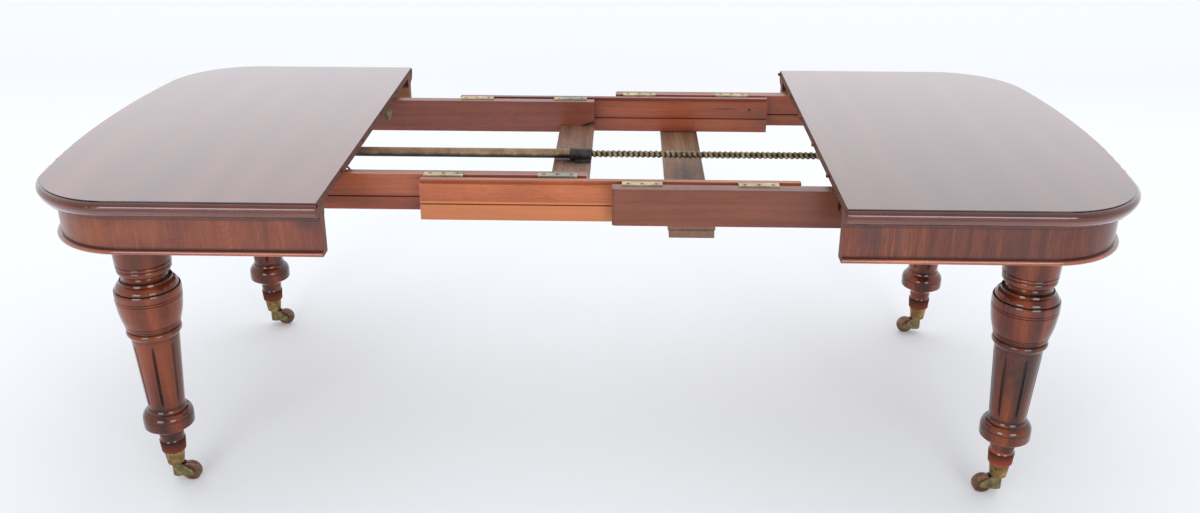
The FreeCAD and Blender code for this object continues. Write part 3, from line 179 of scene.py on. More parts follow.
def wood(name, look):
    # planed or polished timber: broad tone, streaks along the grain, rings, pores and end grain
    made = Finish(name)
    axis = alongStretch[look["along"]]
    wander = made.add("ShaderNodeTexNoise", {"Vector": made.place, "Scale": look["wanderScale"],
                                             "Detail": 2.0})
    shift = made.add("ShaderNodeVectorMath", {0: wander.outputs["Color"], 1: (0.5, 0.5, 0.5)},
                     {"operation": "SUBTRACT"})
    scaled = made.add("ShaderNodeVectorMath", {0: shift.outputs[0], "Scale": look["wander"]},
                      {"operation": "SCALE"})
    moved = made.add("ShaderNodeVectorMath", {0: made.place, 1: scaled.outputs[0]}, {"operation": "ADD"})

    def stretched(amount):
        scale = [1.0, 1.0, 1.0]
        scale[axis] = amount
        return made.mapped(moved.outputs[0], scale, look["offset"])

    broad = made.clouds(stretched(look["broadStretch"]), look["broad"], 2.0, 0.5, 0.6)
    streak = made.clouds(stretched(look["streakStretch"]), look["streak"], 5.0, 0.62, 0.2)
    fineScale = look["streak"] * woodRules["fineTimes"]
    fine = made.clouds(stretched(woodRules["fineStretch"]), fineScale, 3.0, 0.6)
    rings = made.add("ShaderNodeTexWave",
                     {"Vector": stretched(look["ringStretch"]), "Scale": look["ring"],
                      "Distortion": look["ringBend"], "Detail": 3.0, "Detail Scale": 1.2},
                     {"wave_type": "BANDS", "bands_direction": look["ringSide"]})
    share = look["share"]
    tone = made.calc("MULTIPLY", broad, share[0])
    for value, weight in ((streak, share[1]), (rings.outputs["Fac"], share[2]), (fine, share[3])):
        tone = made.calc("ADD", tone, made.calc("MULTIPLY", value, weight))
    tone = made.spread(tone, look["low"], look["high"])
    colour = made.ramp(tone, [(0.0, look["dark"]), (0.5, look["middle"]), (1.0, look["light"])])
    poreFrom = look["poreFrom"]
    pores = made.clouds(stretched(woodRules["poreStretch"]), 1100, 1.0, 0.5)
    pores = made.spread(pores, poreFrom, poreFrom + woodRules["poreFade"])
    colour = made.mixed(made.calc("MULTIPLY", pores, look["pore"]), colour, look["poreColour"])
    for figure in look["figures"]:
        # nested loops of grain round one place, as on crown cut veneer
        loops = made.add("ShaderNodeTexWave",
                         {"Vector": made.centred(figure["at"], figure["size"]), "Distortion": 1.6,
                          "Scale": figure["rings"] * woodRules["figureScale"], "Detail": 2.0,
                          "Detail Scale": 1.5},
                         {"wave_type": "RINGS", "rings_direction": "SPHERICAL"}).outputs["Fac"]
        wide = [woodRules["figureReach"] * size for size in figure["size"]]
        reach = made.add("ShaderNodeTexGradient", {"Vector": made.centred(figure["at"], wide)},
                         {"gradient_type": "SPHERICAL"}).outputs["Fac"]
        lines = made.calc("MULTIPLY", made.spread(loops, 0.62, 0.95),
                          made.spread(reach, 0.05, 0.6, 0.0, figure["amount"]))
        colour = made.mixed(lines, colour, figure["colour"])
    if look["end"]:
        # end grain: darker, with dots in place of lines
        dots = made.clouds(made.place, woodRules["endDots"], 2.0, 0.6)
        endColour = made.ramp(dots, [(0.35, look["endDark"]), (0.65, look["endLight"])])
        colour = made.mixed(made.calc("MULTIPLY", made.facing(axis), look["end"]), colour, endColour)
    for patch in look["patches"]:
        colour = made.patch(colour, patch)
    for band in look["bands"]:
        colour = made.mixed(made.band(band), colour, band["colour"])
    # the legs' cut lines, hollows and flutes darkened: dark polish together with painted shade
    if look["grimeAndShade"]:
        colour = made.grimeAndShade(colour, look)
    sheen = made.clouds(made.place, woodRules["sheenScale"], 4.0, 0.6)
    roughness = made.spread(sheen, 0.3, 0.7, look["rough"][0], look["rough"][1])
    coat = look["coat"]
    if "bare" in look:
        # plain wood with no polish below this height
        bare = made.spread(made.level[2], look["bare"], look["bare"] + woodRules["bareFade"], 1.0, 0.0)
        roughness = made.between(bare, roughness, woodRules["bareRough"])
        coat = made.spread(bare, 0.0, 1.0, coat, 0.0)
    if "sawnDark" in look:
        # the bare sawn faces at the leaf gap have no polish
        sawn = made.cutEnd(woodRules["gapHalf"])
        mottle = made.clouds(made.place, woodRules["sawnScale"], 5.0, 0.65)
        mottle = made.ramp(mottle, [(0.36, look["sawnDark"]), (0.64, look["sawnLight"])])
        colour = made.mixed(sawn, colour, mottle)
        roughness = made.between(sawn, roughness, woodRules["sawnRough"])
        coat = made.spread(sawn, 0.0, 1.0, coat, 0.0)
    height = made.calc("ADD", made.calc("MULTIPLY", pores, woodRules["poreDip"]),
                       made.calc("MULTIPLY", streak, 0.5))
    if "dent" in look:
        waves = made.clouds(made.place, look["dentScale"], 2.0, 0.5)
        height = made.calc("ADD", height, made.calc("MULTIPLY", waves, look["dent"]))
    made.bump(height, look["bump"], woodRules["bumpReach"])
    return made.finish(colour, roughness,
                       {"Coat Weight": coat, "Coat Roughness": look["coatRough"], "Coat IOR": 1.5,
                        "IOR": 1.45, "Specular IOR Level": look["specular"]})


# timbers; the others start from this one and change what differs

deepRed = {
    "dark": shade(52, 22, 18), "middle": shade(84, 36, 26), "light": shade(118, 56, 38),
    "share": (0.45, 0.35, 0.12, 0.08), "low": 0.36, "high": 0.64, "offset": (0, 0, 0),
    "broad": 5.0, "broadStretch": 0.3, "streak": 45.0, "streakStretch": 0.04,
    "ring": 3.0, "ringStretch": 0.15, "ringBend": 5.0, "ringSide": "Y", "wander": 0.03, "wanderScale": 3.0,
    "pore": 0.45, "poreFrom": 0.60, "poreColour": shade(40, 16, 14), "end": 0,
    "coat": 0.0, "coatRough": 0.06, "specular": 0.5, "grimeAndShade": 0, "grimeAndShadeColour": shade(22, 9, 8),
    "figures": [], "patches": [], "bands": [],
}

sawnEnds = {"sawnDark": shade(70, 44, 38), "sawnLight": shade(116, 78, 66)}

slideLook = dict(
    deepRed, along="x", rough=(0.38, 0.52), coat=0.35, coatRough=0.2, specular=0.35, bump=0.14, broad=6,
    streak=70, streakStretch=0.03, wander=0.02, end=0.8, endDark=shade(60, 28, 24),
    endLight=shade(98, 50, 40), poreColour=shade(66, 30, 25))

timbers = {
    "topMahogany": dict(
        deepRed, **sawnEnds, along="y", broad=3.2, broadStretch=0.3, streak=30, ring=2.6, ringSide="X",
        rough=(0.10, 0.16), coat=0.9, coatRough=0.05, specular=0.24, bump=0.05, pore=0.3, dent=0.5,
        dentScale=7, dark=shade(58, 24, 19), middle=shade(86, 36, 28), light=shade(116, 54, 38),
        share=(0.5, 0.28, 0.10, 0.12), low=0.30, high=0.72,
        bands=[
            {"from": 0.7215, "to": 0.7368, "amount": 0.5, "colour": shade(84, 35, 25)},
            # the dark line at the top of the thumb is the painted shadow of the arris step
            {"from": 0.7370, "to": 0.7391, "amount": 0.9, "colour": shade(18, 9, 8)}]),
    "edgeMahogany": dict(
        deepRed, **sawnEnds, along="x", rough=(0.12, 0.2), coat=1.0, coatRough=0.03, bump=0.05,
        dark=shade(64, 27, 19), middle=shade(98, 43, 29), light=shade(130, 64, 42), streak=55,
        share=(0.5, 0.35, 0.05, 0.1),
        bands=[
            {"from": 0.7208, "to": 0.723, "amount": 0.7, "colour": shade(30, 13, 11)},
            {"from": 0.7041, "to": 0.7068, "amount": 0.8, "colour": shade(28, 12, 10)}],
        patches=[
            {"at": (-0.843, -0.53, 0.71), "size": (0.004, 0.02, 0.02), "amount": 0.9, "scale": 90,
             "colour": shade(26, 12, 11)},
            {"at": (0.545, -0.52, 0.705), "size": (0.05, 0.04, 0.014), "amount": 0.8,
             "colour": shade(30, 24, 26)},
            {"at": (-0.545, -0.52, 0.705), "size": (0.05, 0.04, 0.014), "amount": 0.8,
             "colour": shade(30, 24, 26)}]),
    "facingVeneer": dict(
        deepRed, **sawnEnds, along="z", broad=19, broadStretch=0.1, streak=120, streakStretch=0.04,
        ring=9.0, ringStretch=0.12, ringSide="X", ringBend=4.0, wander=0.008, wanderScale=5,
        dark=shade(74, 31, 21), middle=shade(102, 46, 29), light=shade(132, 68, 40), rough=(0.24, 0.36),
        coat=0.35, coatRough=0.12, specular=0.35, bump=0.10, share=(0.24, 0.36, 0.04, 0.36), low=0.37,
        high=0.63,
        figures=[
            {"at": (-0.722, -0.504, 0.712), "size": (0.042, 0.3, 0.07), "rings": 5, "amount": 0.65,
             "colour": shade(84, 38, 30)}],
        patches=[
            {"at": (-0.72, -0.5, 0.66), "size": (0.35, 0.3, 0.2), "amount": 0.3, "scale": 18,
             "colour": shade(152, 80, 52)},
            {"at": (0.92, -0.45, 0.66), "size": (0.38, 0.4, 0.2), "amount": 0.45, "scale": 18,
             "colour": shade(64, 30, 24)},
            {"at": (-0.97, -0.47, 0.66), "size": (0.19, 0.2, 0.07), "amount": 0.5, "scale": 25,
             "colour": shade(140, 76, 40)},
            {"at": (0.575, -0.504, 0.68), "size": (0.06, 0.05, 0.06), "amount": 0.55,
             "colour": shade(70, 44, 40)},
            {"at": (0.63, -0.504, 0.66), "size": (0.02, 0.05, 0.08), "amount": 0.6,
             "colour": shade(74, 46, 40)},
            {"at": (-0.545, -0.504, 0.69), "size": (0.05, 0.06, 0.03), "amount": 0.6,
             "colour": shade(60, 36, 36)}],
        # both bands are painted shade: in the quirk above the bead, and under the lipping's cove
        bands=[
            {"from": 0.6280, "to": 0.6306, "amount": 0.6, "soft": 0.002, "colour": shade(46, 20, 16)},
            {"from": 0.6925, "to": 0.6975, "amount": 0.5, "soft": 0.002, "colour": shade(46, 20, 16)}]),
    "apronCore": dict(
        deepRed, along="x", rough=(0.55, 0.7), bump=0.25, dark=shade(120, 78, 52),
        middle=shade(150, 100, 66), light=shade(176, 126, 86), poreColour=shade(96, 60, 42), end=0.9,
        endDark=shade(80, 38, 27), endLight=shade(118, 60, 41)),
    "beadMahogany": dict(
        deepRed, **sawnEnds, along="x", dark=shade(122, 57, 33), middle=shade(158, 79, 45),
        light=shade(184, 102, 60), poreColour=shade(76, 34, 24), rough=(0.2, 0.3), coat=0.8,
        coatRough=0.06, bump=0.08, broad=9, streak=60,
        bands=[
            # the dark band at the bead's top is painted shade from the quirk above it
            {"from": 0.6268, "to": 0.629, "amount": 0.7, "soft": 0.0006, "colour": shade(52, 22, 18)}]),
    "slidePurple": dict(
        slideLook, dark=shade(80, 37, 25), middle=shade(100, 49, 31), light=shade(120, 64, 43),
        patches=[
            {"at": (0.62, -0.3743, 0.684), "size": (0.10, 0.03, 0.04), "amount": 0.5, "scale": 22,
             "colour": shade(60, 36, 32)},
            # a near-black spot at the slide's inner end is the painted shadow of the gap by the end of the
            # top
            {"at": (0.531, -0.3743, 0.688), "size": (0.005, 0.02, 0.02), "amount": 1.0, "full": 0.2,
             "colour": shade(18, 12, 11)}]),
    "slidePurpleBack": dict(
        slideLook, dark=shade(96, 46, 33), middle=shade(120, 60, 43), light=shade(144, 78, 57),
        offset=(0.3, 0.2, 0.1)),
    "slideOrange": dict(
        slideLook, dark=shade(104, 44, 26), middle=shade(134, 60, 34), light=shade(162, 86, 52),
        poreColour=shade(90, 42, 28), endDark=shade(96, 46, 32), endLight=shade(140, 74, 50), ring=7,
        ringBend=9, share=(0.38, 0.32, 0.2, 0.1)),
    "middleOrange": dict(
        slideLook, dark=shade(128, 60, 32), middle=shade(156, 79, 43), light=shade(182, 102, 58),
        poreColour=shade(104, 50, 32), endDark=shade(104, 54, 34), endLight=shade(150, 82, 52), streak=95,
        poreFrom=0.57,
        bands=[
            {"from": 0.632, "to": 0.673, "amount": 0.45, "colour": shade(204, 128, 76)}]),
    "middleRed": dict(
        slideLook, dark=shade(98, 42, 24), middle=shade(128, 57, 31), light=shade(156, 79, 46),
        poreColour=shade(84, 38, 26), endDark=shade(84, 48, 34), endLight=shade(120, 74, 52), streak=95,
        patches=[
            {"at": (0.345, 0.30, 0.694), "size": (0.05, 0.04, 0.0035), "amount": 0.9, "scale": 120,
             "colour": shade(50, 24, 20)},
            {"at": (0.4097, 0.30, 0.692), "size": (0.006, 0.03, 0.005), "amount": 1.0, "scale": 60,
             "full": 0.25, "colour": shade(40, 20, 17)},
            {"at": (0.44, 0.30, 0.67), "size": (0.04, 0.03, 0.06), "amount": 0.4, "scale": 30,
             "colour": shade(110, 62, 44)}]),
    "crossBoard": dict(
        deepRed, along="y", dark=shade(88, 62, 48), middle=shade(126, 92, 71), light=shade(154, 118, 94),
        poreColour=shade(66, 46, 38), rough=(0.45, 0.6), bump=0.3, broad=9, streak=80, streakStretch=0.03,
        share=(0.4, 0.42, 0.06, 0.12), low=0.38, high=0.62, end=0.7, endDark=shade(80, 54, 42),
        endLight=shade(122, 90, 70),
        patches=[
            {"at": (-0.035, 0.0, 0.655), "size": (0.06, 0.08, 0.06), "amount": 0.9, "scale": 90,
             "colour": shade(38, 30, 26)},
            {"at": (0.235, -0.06, 0.63), "size": (0.06, 0.16, 0.05), "amount": 0.8, "scale": 60,
             "colour": shade(70, 58, 50)},
            {"at": (-0.06, -0.2, 0.655), "size": (0.03, 0.12, 0.05), "amount": 0.6, "scale": 50,
             "colour": shade(76, 52, 44)}]),
    "tongueBeech": dict(
        deepRed, along="x", dark=shade(96, 58, 42), middle=shade(120, 76, 54), light=shade(146, 98, 70),
        poreColour=shade(80, 48, 36), rough=(0.5, 0.6), bump=0.15),
    "legMahogany": dict(
        deepRed, along="z", dark=shade(54, 20, 12), middle=shade(92, 37, 18), light=shade(128, 61, 29),
        broad=9, broadStretch=0.3, streak=60, streakStretch=0.06, ring=6, ringSide="X", ringStretch=0.12,
        rough=(0.12, 0.2), coat=0.62, coatRough=0.035, specular=0.2, bump=0.06, grimeAndShade=1.0, wander=0.03,
        share=(0.5, 0.28, 0.14, 0.08),
        patches=[
            {"at": (0.95, -0.445, 0.33), "size": (0.09, 0.06, 0.12), "amount": 0.85, "scale": 45,
             "colour": shade(40, 26, 24)},
            {"at": (-0.94, -0.4, 0.44), "size": (0.2, 0.2, 0.3), "amount": 0.4, "scale": 12,
             "colour": shade(146, 70, 34)},
            {"at": (0.94, -0.39, 0.095), "size": (0.1, 0.1, 0.03), "amount": 0.9, "scale": 20,
             "full": 0.2, "colour": shade(184, 84, 48)}],
        bands=[
            {"from": 0.083, "to": 0.109, "amount": 0.75, "colour": shade(118, 54, 36)}],
        bare=0.1105),
    "dowelBeech": dict(
        deepRed, along="x", dark=shade(90, 44, 30), middle=shade(124, 64, 42), light=shade(156, 88, 58),
        rough=(0.45, 0.6), bump=0.1, end=0.7, endDark=shade(76, 38, 28), endLight=shade(128, 72, 50)),
}
madeWoods = {name: wood(name, look) for name, look in timbers.items()}
print("timbers mixed")


# metals

metalRules = {"patchShare": 0.7, "speckShare": 0.3, "speckScale": 320, "uneven": 1.2, "bumpReach": 0.0005}


def metal(name, look):
    # cast or rolled metal with tarnish, and painted shade on the side that looks down where the finish asks
    # for it
    made = Finish(name)
    patches = made.clouds(made.place, look["patch"], 5.0, 0.65, 0.3)
    specks = made.clouds(made.place, metalRules["speckScale"], 3.0, 0.6)
    tone = made.calc("ADD", made.calc("MULTIPLY", patches, metalRules["patchShare"]),
                     made.calc("MULTIPLY", specks, metalRules["speckShare"]))
    tone = made.spread(tone, 0.36, 0.64)
    colour = made.ramp(tone, [(0.0, look["dark"]), (0.55, look["middle"]), (1.0, look["light"])])
    for patch in look.get("patches", []):
        colour = made.patch(colour, patch)
    if "under" in look:
        # the side that looks down is painted darker: painted shade under the tube
        normal = made.add("ShaderNodeNewGeometry", {}).outputs["Normal"]
        uneven = made.calc("MULTIPLY", made.calc("SUBTRACT", patches, 0.5), metalRules["uneven"])
        down = made.calc("ADD", made.parts(normal)[2], uneven)
        colour = made.mixed(made.spread(down, -0.25, 0.35, 1.0, 0.0), colour, look["under"])
    # darkening from the mesh's attribute: painted shade in the roots of the screw's thread
    if look.get("grimeAndShade", 0):
        colour = made.grimeAndShade(colour, look)
    roughness = made.spread(patches, 0.3, 0.7, look["rough"][0], look["rough"][1])
    made.bump(made.calc("ADD", specks, patches), look["bump"], metalRules["bumpReach"])
    return made.finish(colour, roughness, {"Metallic": look["metallic"]})


metals = {
    "keeperBrass": {
        "dark": shade(138, 126, 98), "middle": shade(180, 166, 128), "light": shade(212, 198, 158),
        "patch": 22, "rough": (0.34, 0.5), "metallic": 0.7, "bump": 0.12,
        "patches": [
            {"at": (-0.045, 0, 0.72), "size": (0.062, 1.2, 0.06), "amount": 0.85, "scale": 60,
             "full": 0.3, "colour": shade(112, 124, 116)},
            {"at": (-0.268, -0.290, 0.72), "size": (0.026, 0.014, 0.05), "amount": 0.9, "scale": 70,
             "full": 0.3, "colour": shade(92, 100, 92)}]},
    "castorBrass": {
        "dark": shade(84, 62, 34), "middle": shade(134, 106, 62), "light": shade(182, 152, 98),
        "patch": 60, "rough": (0.34, 0.52), "metallic": 0.6, "bump": 0.25},
    "castorHorn": {
        "dark": shade(72, 62, 42), "middle": shade(116, 102, 68), "light": shade(148, 132, 94),
        "patch": 60, "rough": (0.38, 0.55), "metallic": 0.5, "bump": 0.25},
    "castorWheel": {
        "dark": shade(70, 46, 38), "middle": shade(110, 76, 60), "light": shade(148, 110, 84),
        "patch": 50, "rough": (0.34, 0.5), "metallic": 0.4, "bump": 0.25},
    "nutIron": {
        "dark": shade(36, 33, 33), "middle": shade(60, 55, 54), "light": shade(92, 84, 78), "patch": 60,
        "rough": (0.4, 0.6), "metallic": 0.35, "bump": 0.45},
    "screwSteel": {
        "dark": shade(92, 78, 60), "middle": shade(142, 126, 98), "light": shade(204, 190, 156),
        "patch": 35, "rough": (0.26, 0.42), "metallic": 0.75, "bump": 0.2, "grimeAndShade": 1.0,
        "grimeAndShadeColour": shade(26, 20, 16)},
    "tubeIron": {
        "dark": shade(104, 80, 58), "middle": shade(146, 116, 86), "light": shade(178, 148, 112),
        "patch": 16, "rough": (0.45, 0.6), "metallic": 0.2, "bump": 0.25, "under": shade(30, 26, 24)},
    "hookIron": {
        "dark": shade(60, 42, 46), "middle": shade(96, 72, 80), "light": shade(134, 108, 116),
        "patch": 40, "rough": (0.35, 0.5), "metallic": 0.6, "bump": 0.2},
    "clipBrass": {
        "dark": shade(66, 54, 44), "middle": shade(104, 90, 70), "light": shade(150, 136, 104),
        "patch": 40, "rough": (0.4, 0.55), "metallic": 0.5, "bump": 0.2},
}
madeMetals = {name: metal(name, look) for name, look in metals.items()}
print("metals mixed")


# finishes for the nodes that stay

dressed = {
    "topMahogany": ["left_top", "right_top"],
    "edgeMahogany": ["left_lipping", "right_lipping"],
    "facingVeneer": ["left_apron_facing", "right_apron_facing"],
    "apronCore": ["left_apron_front", "left_apron_back", "left_apron_end", "right_apron_front",
                  "right_apron_back", "right_apron_end", "left_leg_blocks", "right_leg_blocks",
                  "left_bearer", "right_bearer"],
    "beadMahogany": ["left_bead", "right_bead"],
    "slideOrange": ["inner_slide_front", "outer_slide_back"],
    "slidePurple": ["outer_slide_front"],
    "slidePurpleBack": ["inner_slide_back"],
    "middleOrange": ["middle_slide_front"],
    "middleRed": ["middle_slide_back"],
    "crossBoard": ["nut_board", "lower_board", "lower_board_packers"],
    "tongueBeech": ["slide_tongues_front", "slide_tongues_back"],
    "dowelBeech": ["leaf_dowels"],
    "keeperBrass": ["inner_keeper_plates", "outer_keeper_plates"],
    "castorBrass": [corner + "_castor_cup" for corner in corners],
    "castorHorn": [corner + "_castor_horn" for corner in corners],
    "castorWheel": [corner + "_castor_wheel" for corner in corners],
    "nutIron": ["screw_nut", "thrust_bearing"],
    "screwSteel": ["screw_collar"],
    "tubeIron": ["guard_tube"],
}
finishes = dict(madeWoods, **madeMetals)
for finishName, nodeNames in dressed.items():
    for nodeName in nodeNames:
        for materialSlot in nodes[nodeName].material_slots:
            materialSlot.material = finishes[finishName]
print("nodes dressed")


# helpers for new pieces

def addPiece(bm, name, finish, body, smooth, replaced=()):
    # a finished mesh that rides on a body, in place of the nodes that it replaces
    mesh = bpy.data.meshes.new(name)
    bm.to_mesh(mesh)
    bm.free()
    piece = bpy.data.objects.new(name, mesh)
    bpy.context.scene.collection.objects.link(piece)
    mesh.materials.append(finish)
    mesh.shade_smooth()
    mesh.set_sharp_from_angle(angle=math.radians(smooth))
    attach(piece, body)
    if replaced:
        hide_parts(*replaced)


def roundedLine(points, steps):
    # corners are (radius, height) or (radius, height, bulge): a bulge rounds the way to the next one
    line = []
    for index, point in enumerate(points):
        line.append(Vector(point[:2]))
        if len(point) == 3 and index + 1 < len(points):
            start = Vector(point[:2])
            end = Vector(points[index + 1][:2])
            chord = end - start
            sweep = 4 * math.atan(point[2])
            radius = chord.length / (2 * math.sin(abs(sweep) / 2))
            side = Vector((-chord.y, chord.x)).normalized() * (1 if sweep > 0 else -1)
            centre = start + chord / 2 + side * math.sqrt(max(radius ** 2 - (chord.length / 2) ** 2, 0))
            for step in range(1, steps):
                turn = Matrix.Rotation(sweep * step / steps, 2)
                line.append(centre + turn @ (start - centre))
    return line


def cutLines(line, heights, width, depth):
    # narrow grooves cut into a turned profile
    for height in heights:
        for index in range(len(line) - 1):
            upper, lower = line[index], line[index + 1]
            if upper.y - width / 2 > height > lower.y + width / 2:
                def at(level):
                    share = (upper.y - level) / (upper.y - lower.y)
                    return upper.x + (lower.x - upper.x) * share
                line[index + 1:index + 1] = [Vector((at(height + width / 2), height + width / 2)),
                                             Vector((at(height) - depth, height)),
                                             Vector((at(height - width / 2), height - width / 2))]
                break
    return line


turnedWeld = 0.02 * mm


def turned(line, steps, start):
    # spins a profile given in millimetres round the upright axis, from a start angle
    bm = bmesh.new()
    verts = [bm.verts.new((point.x * mm * math.cos(start), point.x * mm * math.sin(start), point.y * mm))
             for point in line]
    edges = [bm.edges.new(pair) for pair in zip(verts, verts[1:])]
    bmesh.ops.spin(bm, geom=verts + edges, cent=(0, 0, 0), axis=(0, 0, 1), dvec=(0, 0, 0),
                   angle=math.tau, steps=steps, use_merge=True)
    bmesh.ops.remove_doubles(bm, verts=bm.verts, dist=turnedWeld)
    bmesh.ops.recalc_face_normals(bm, faces=bm.faces)
    return bm


# turned legs, with their cut lines and flutes

turnedLeg = {
    "steps": 280, "arcSteps": 7, "smooth": 38, "slim": 0.955, "slimFrom": 130, "slimTo": 600,
    "profile": [
        (0, 687), (12, 687), (12, 617), (60.6, 617), (60.6, 600.0), (60.6, 555.0), (58.6, 553.4),
        (59.6, 551.9, -0.35), (59.0, 545.7), (57.9, 544.5), (59.0, 543.0, -0.42), (48.3, 526.3),
        (45.4, 523.8), (47.3, 518.3, 0.2), (56.7, 515.2), (57.8, 510.9, -0.2), (68.6, 496.0), (67.9, 494.3),
        (71.4, 493.6), (72.5, 491.4, -0.05), (71.5, 456.6, -0.06), (62.7, 413.4), (59.2, 400.7),
        (55.6, 399.8), (55.6, 397.3), (58.5, 396.7, -0.5), (56.0, 382.8, 0.25), (53.4, 377.6),
        (41.4, 201.5), (44.1, 198.7), (44.9, 192.5, -0.28), (57.1, 175.2), (57.4, 173.1),
        (57.4, 154.0, -0.3), (54.6, 150.6), (33.5, 141.0, 0.2), (27.2, 126.0), (26.3, 116.0, 0.1),
        (28.5, 110.1), (26.5, 82), (20.5, 82), (16, 58.4), (0, 58.4)],
    "lines": [481, 475.5, 470, 412, 408, 403.4],
    "lineWidth": 1.7, "lineDepth": 1.1, "lineReach": 0.1, "lineFrom": 20,
    "rowFoot": 200, "rowTop": 380, "rowGap": 12, "closeRows": (-3, -1.5, 0, 1.5, 3),
    "flutes": 7, "fluteTop": 368, "fluteFoot": 212, "fluteWidth": 5.0, "fluteDepth": 3.4, "fluteTaper": 9,
    # the flute and lip values and the table of heights below give dark polish together with painted shade
    # in the flutes, cut lines and hollows
    "fluteTip": 0.3, "fluteFrom": 30, "fluteGrimeAndShade": 0.55, "lip": 0.9, "lipGrimeAndShade": 0.35,
    "grimeAndShade": [(553.6, 1.2, 0.8), (544.5, 1.4, 0.8), (525, 3, 0.45), (516.5, 2.4, 0.6), (511.5, 1.5, 0.5),
              (494.4, 1.3, 1.0), (399.2, 2.2, 1.0), (378, 3, 0.4), (201.3, 2.2, 0.8), (196, 3, 0.35),
              (175.2, 1.3, 0.95), (191, 0.9, 0.6), (126, 8, 0.35), (110.6, 1.4, 1.0)],
    "fluteStart": {"left_front": 25.7, "left_back": 25.7, "right_front": 17.0, "right_back": 17.0},
}


def addRows(line):
    # rows close enough together for the flutes, closest at their ends
    look = turnedLeg
    dense = []
    for upper, lower in zip(line, line[1:]):
        fluted = look["rowFoot"] < upper.y < look["rowTop"]
        pieces = 1 + int((upper.y - lower.y) / look["rowGap"]) if fluted else 1
        dense += [upper.lerp(lower, step / pieces) for step in range(pieces)]
    dense.append(line[-1])
    for level in (look["fluteTop"], look["fluteFoot"]):
        for extra in look["closeRows"]:
            for index in range(len(dense) - 1):
                if dense[index].y > level + extra > dense[index + 1].y:
                    share = (dense[index].y - level - extra) / (dense[index].y - dense[index + 1].y)
                    dense.insert(index + 1, dense[index].lerp(dense[index + 1], share))
                    break
    return dense


def lineGrimeAndShade(height, radius):
    # the dark polish together with painted shade in the cut lines and hollows at one height
    look = turnedLeg
    value = 0
    for level, width, strength in look["grimeAndShade"]:
        value = max(value, strength * math.exp(-((height - level) / width) ** 2))
    near = min(abs(height - level) for level in look["lines"])
    if radius > look["lineFrom"] and near < look["lineReach"]:
        value = 1
    return value


def cutFlute(vert, height, radius, start, value):
    # pushes a point of the shaft in where a flute runs, and gives the dark polish and painted shade in the
    # flute there
    look = turnedLeg
    within = min(look["fluteTop"] - height, height - look["fluteFoot"])
    if radius <= look["fluteFrom"] or within <= 0:
        return value
    # a flute narrows to a point at each end
    share = min(within / look["fluteTaper"], 1)
    half = look["fluteWidth"] / 2 * (look["fluteTip"] + (1 - look["fluteTip"]) * share)
    pitch = math.tau / look["flutes"]
    angle = math.atan2(vert.co.y, vert.co.x) - start
    across = abs((angle + pitch / 2) % pitch - pitch / 2) * radius
    if across < half:
        depth = look["fluteDepth"] * math.sqrt(1 - (across / half) ** 2) * math.sqrt(share)
        vert.co.x *= 1 - depth / radius
        vert.co.y *= 1 - depth / radius
        return max(value, look["fluteGrimeAndShade"] + (1 - look["fluteGrimeAndShade"]) * (1 - across / half))
    if across < half + look["lip"]:
        return max(value, look["lipGrimeAndShade"])
    return value


def makeLeg(corner):
    look = turnedLeg
    low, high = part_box(corner + "_leg")
    line = roundedLine(look["profile"], look["arcSteps"])
    for point in line:
        if look["slimFrom"] < point.y < look["slimTo"]:
            point.x *= look["slim"]
    line = cutLines(addRows(line), look["lines"], look["lineWidth"], look["lineDepth"])
    start = math.radians(look["fluteStart"][corner])
    bm = turned(line, look["steps"], start)
    # an attribute for the dark polish and painted shade in the cut lines, hollows and flutes
    layer = bm.verts.layers.float.new("grimeAndShade")
    for vert in bm.verts:
        height = vert.co.z / mm
        radius = math.hypot(vert.co.x, vert.co.y) / mm
        vert[layer] = min(cutFlute(vert, height, radius, start, lineGrimeAndShade(height, radius)), 1)
    bmesh.ops.translate(bm, verts=bm.verts, vec=((low.x + high.x) / 2, (low.y + high.y) / 2, 0))
    body = "left_end" if corner.startswith("left") else "right_end"
    addPiece(bm, corner + "_turned_leg", madeWoods["legMahogany"], body, look["smooth"],
             [corner + "_leg"])


for corner in corners:
    makeLeg(corner)
print("legs turned")


# winding screw with its round thread

windingScrew = {
    "start": -36.0, "threadEnd": 1064.7, "level": 669.0, "pitch": 12.7, "crest": 9.0, "root": 5.9,
    "crestShape": 0.7, "grimeAndShadeShape": 1.4, "coreInset": 0.5, "coreSides": 24, "journalSides": 32,
    "journal": 7.5, "journalEnd": 1090.3, "key": 10.5, "keyEnd": 1104.3, "keyEdge": 0.7, "overlap": 2,
    "steps": 20, "rows": 10, "weld": 0.1, "smooth": 50,
}


def addShaft(bm, first, last, radius, sides):
    # a plain length of the screw between two places along it
    matrix = Matrix.Translation(((first + last) / 2 * mm, 0, 0)) @ Matrix.Rotation(math.pi / 2, 4, "Y")
    bmesh.ops.create_cone(bm, cap_ends=True, segments=sides, radius1=radius * mm, radius2=radius * mm,
                          depth=(last - first) * mm, matrix=matrix)


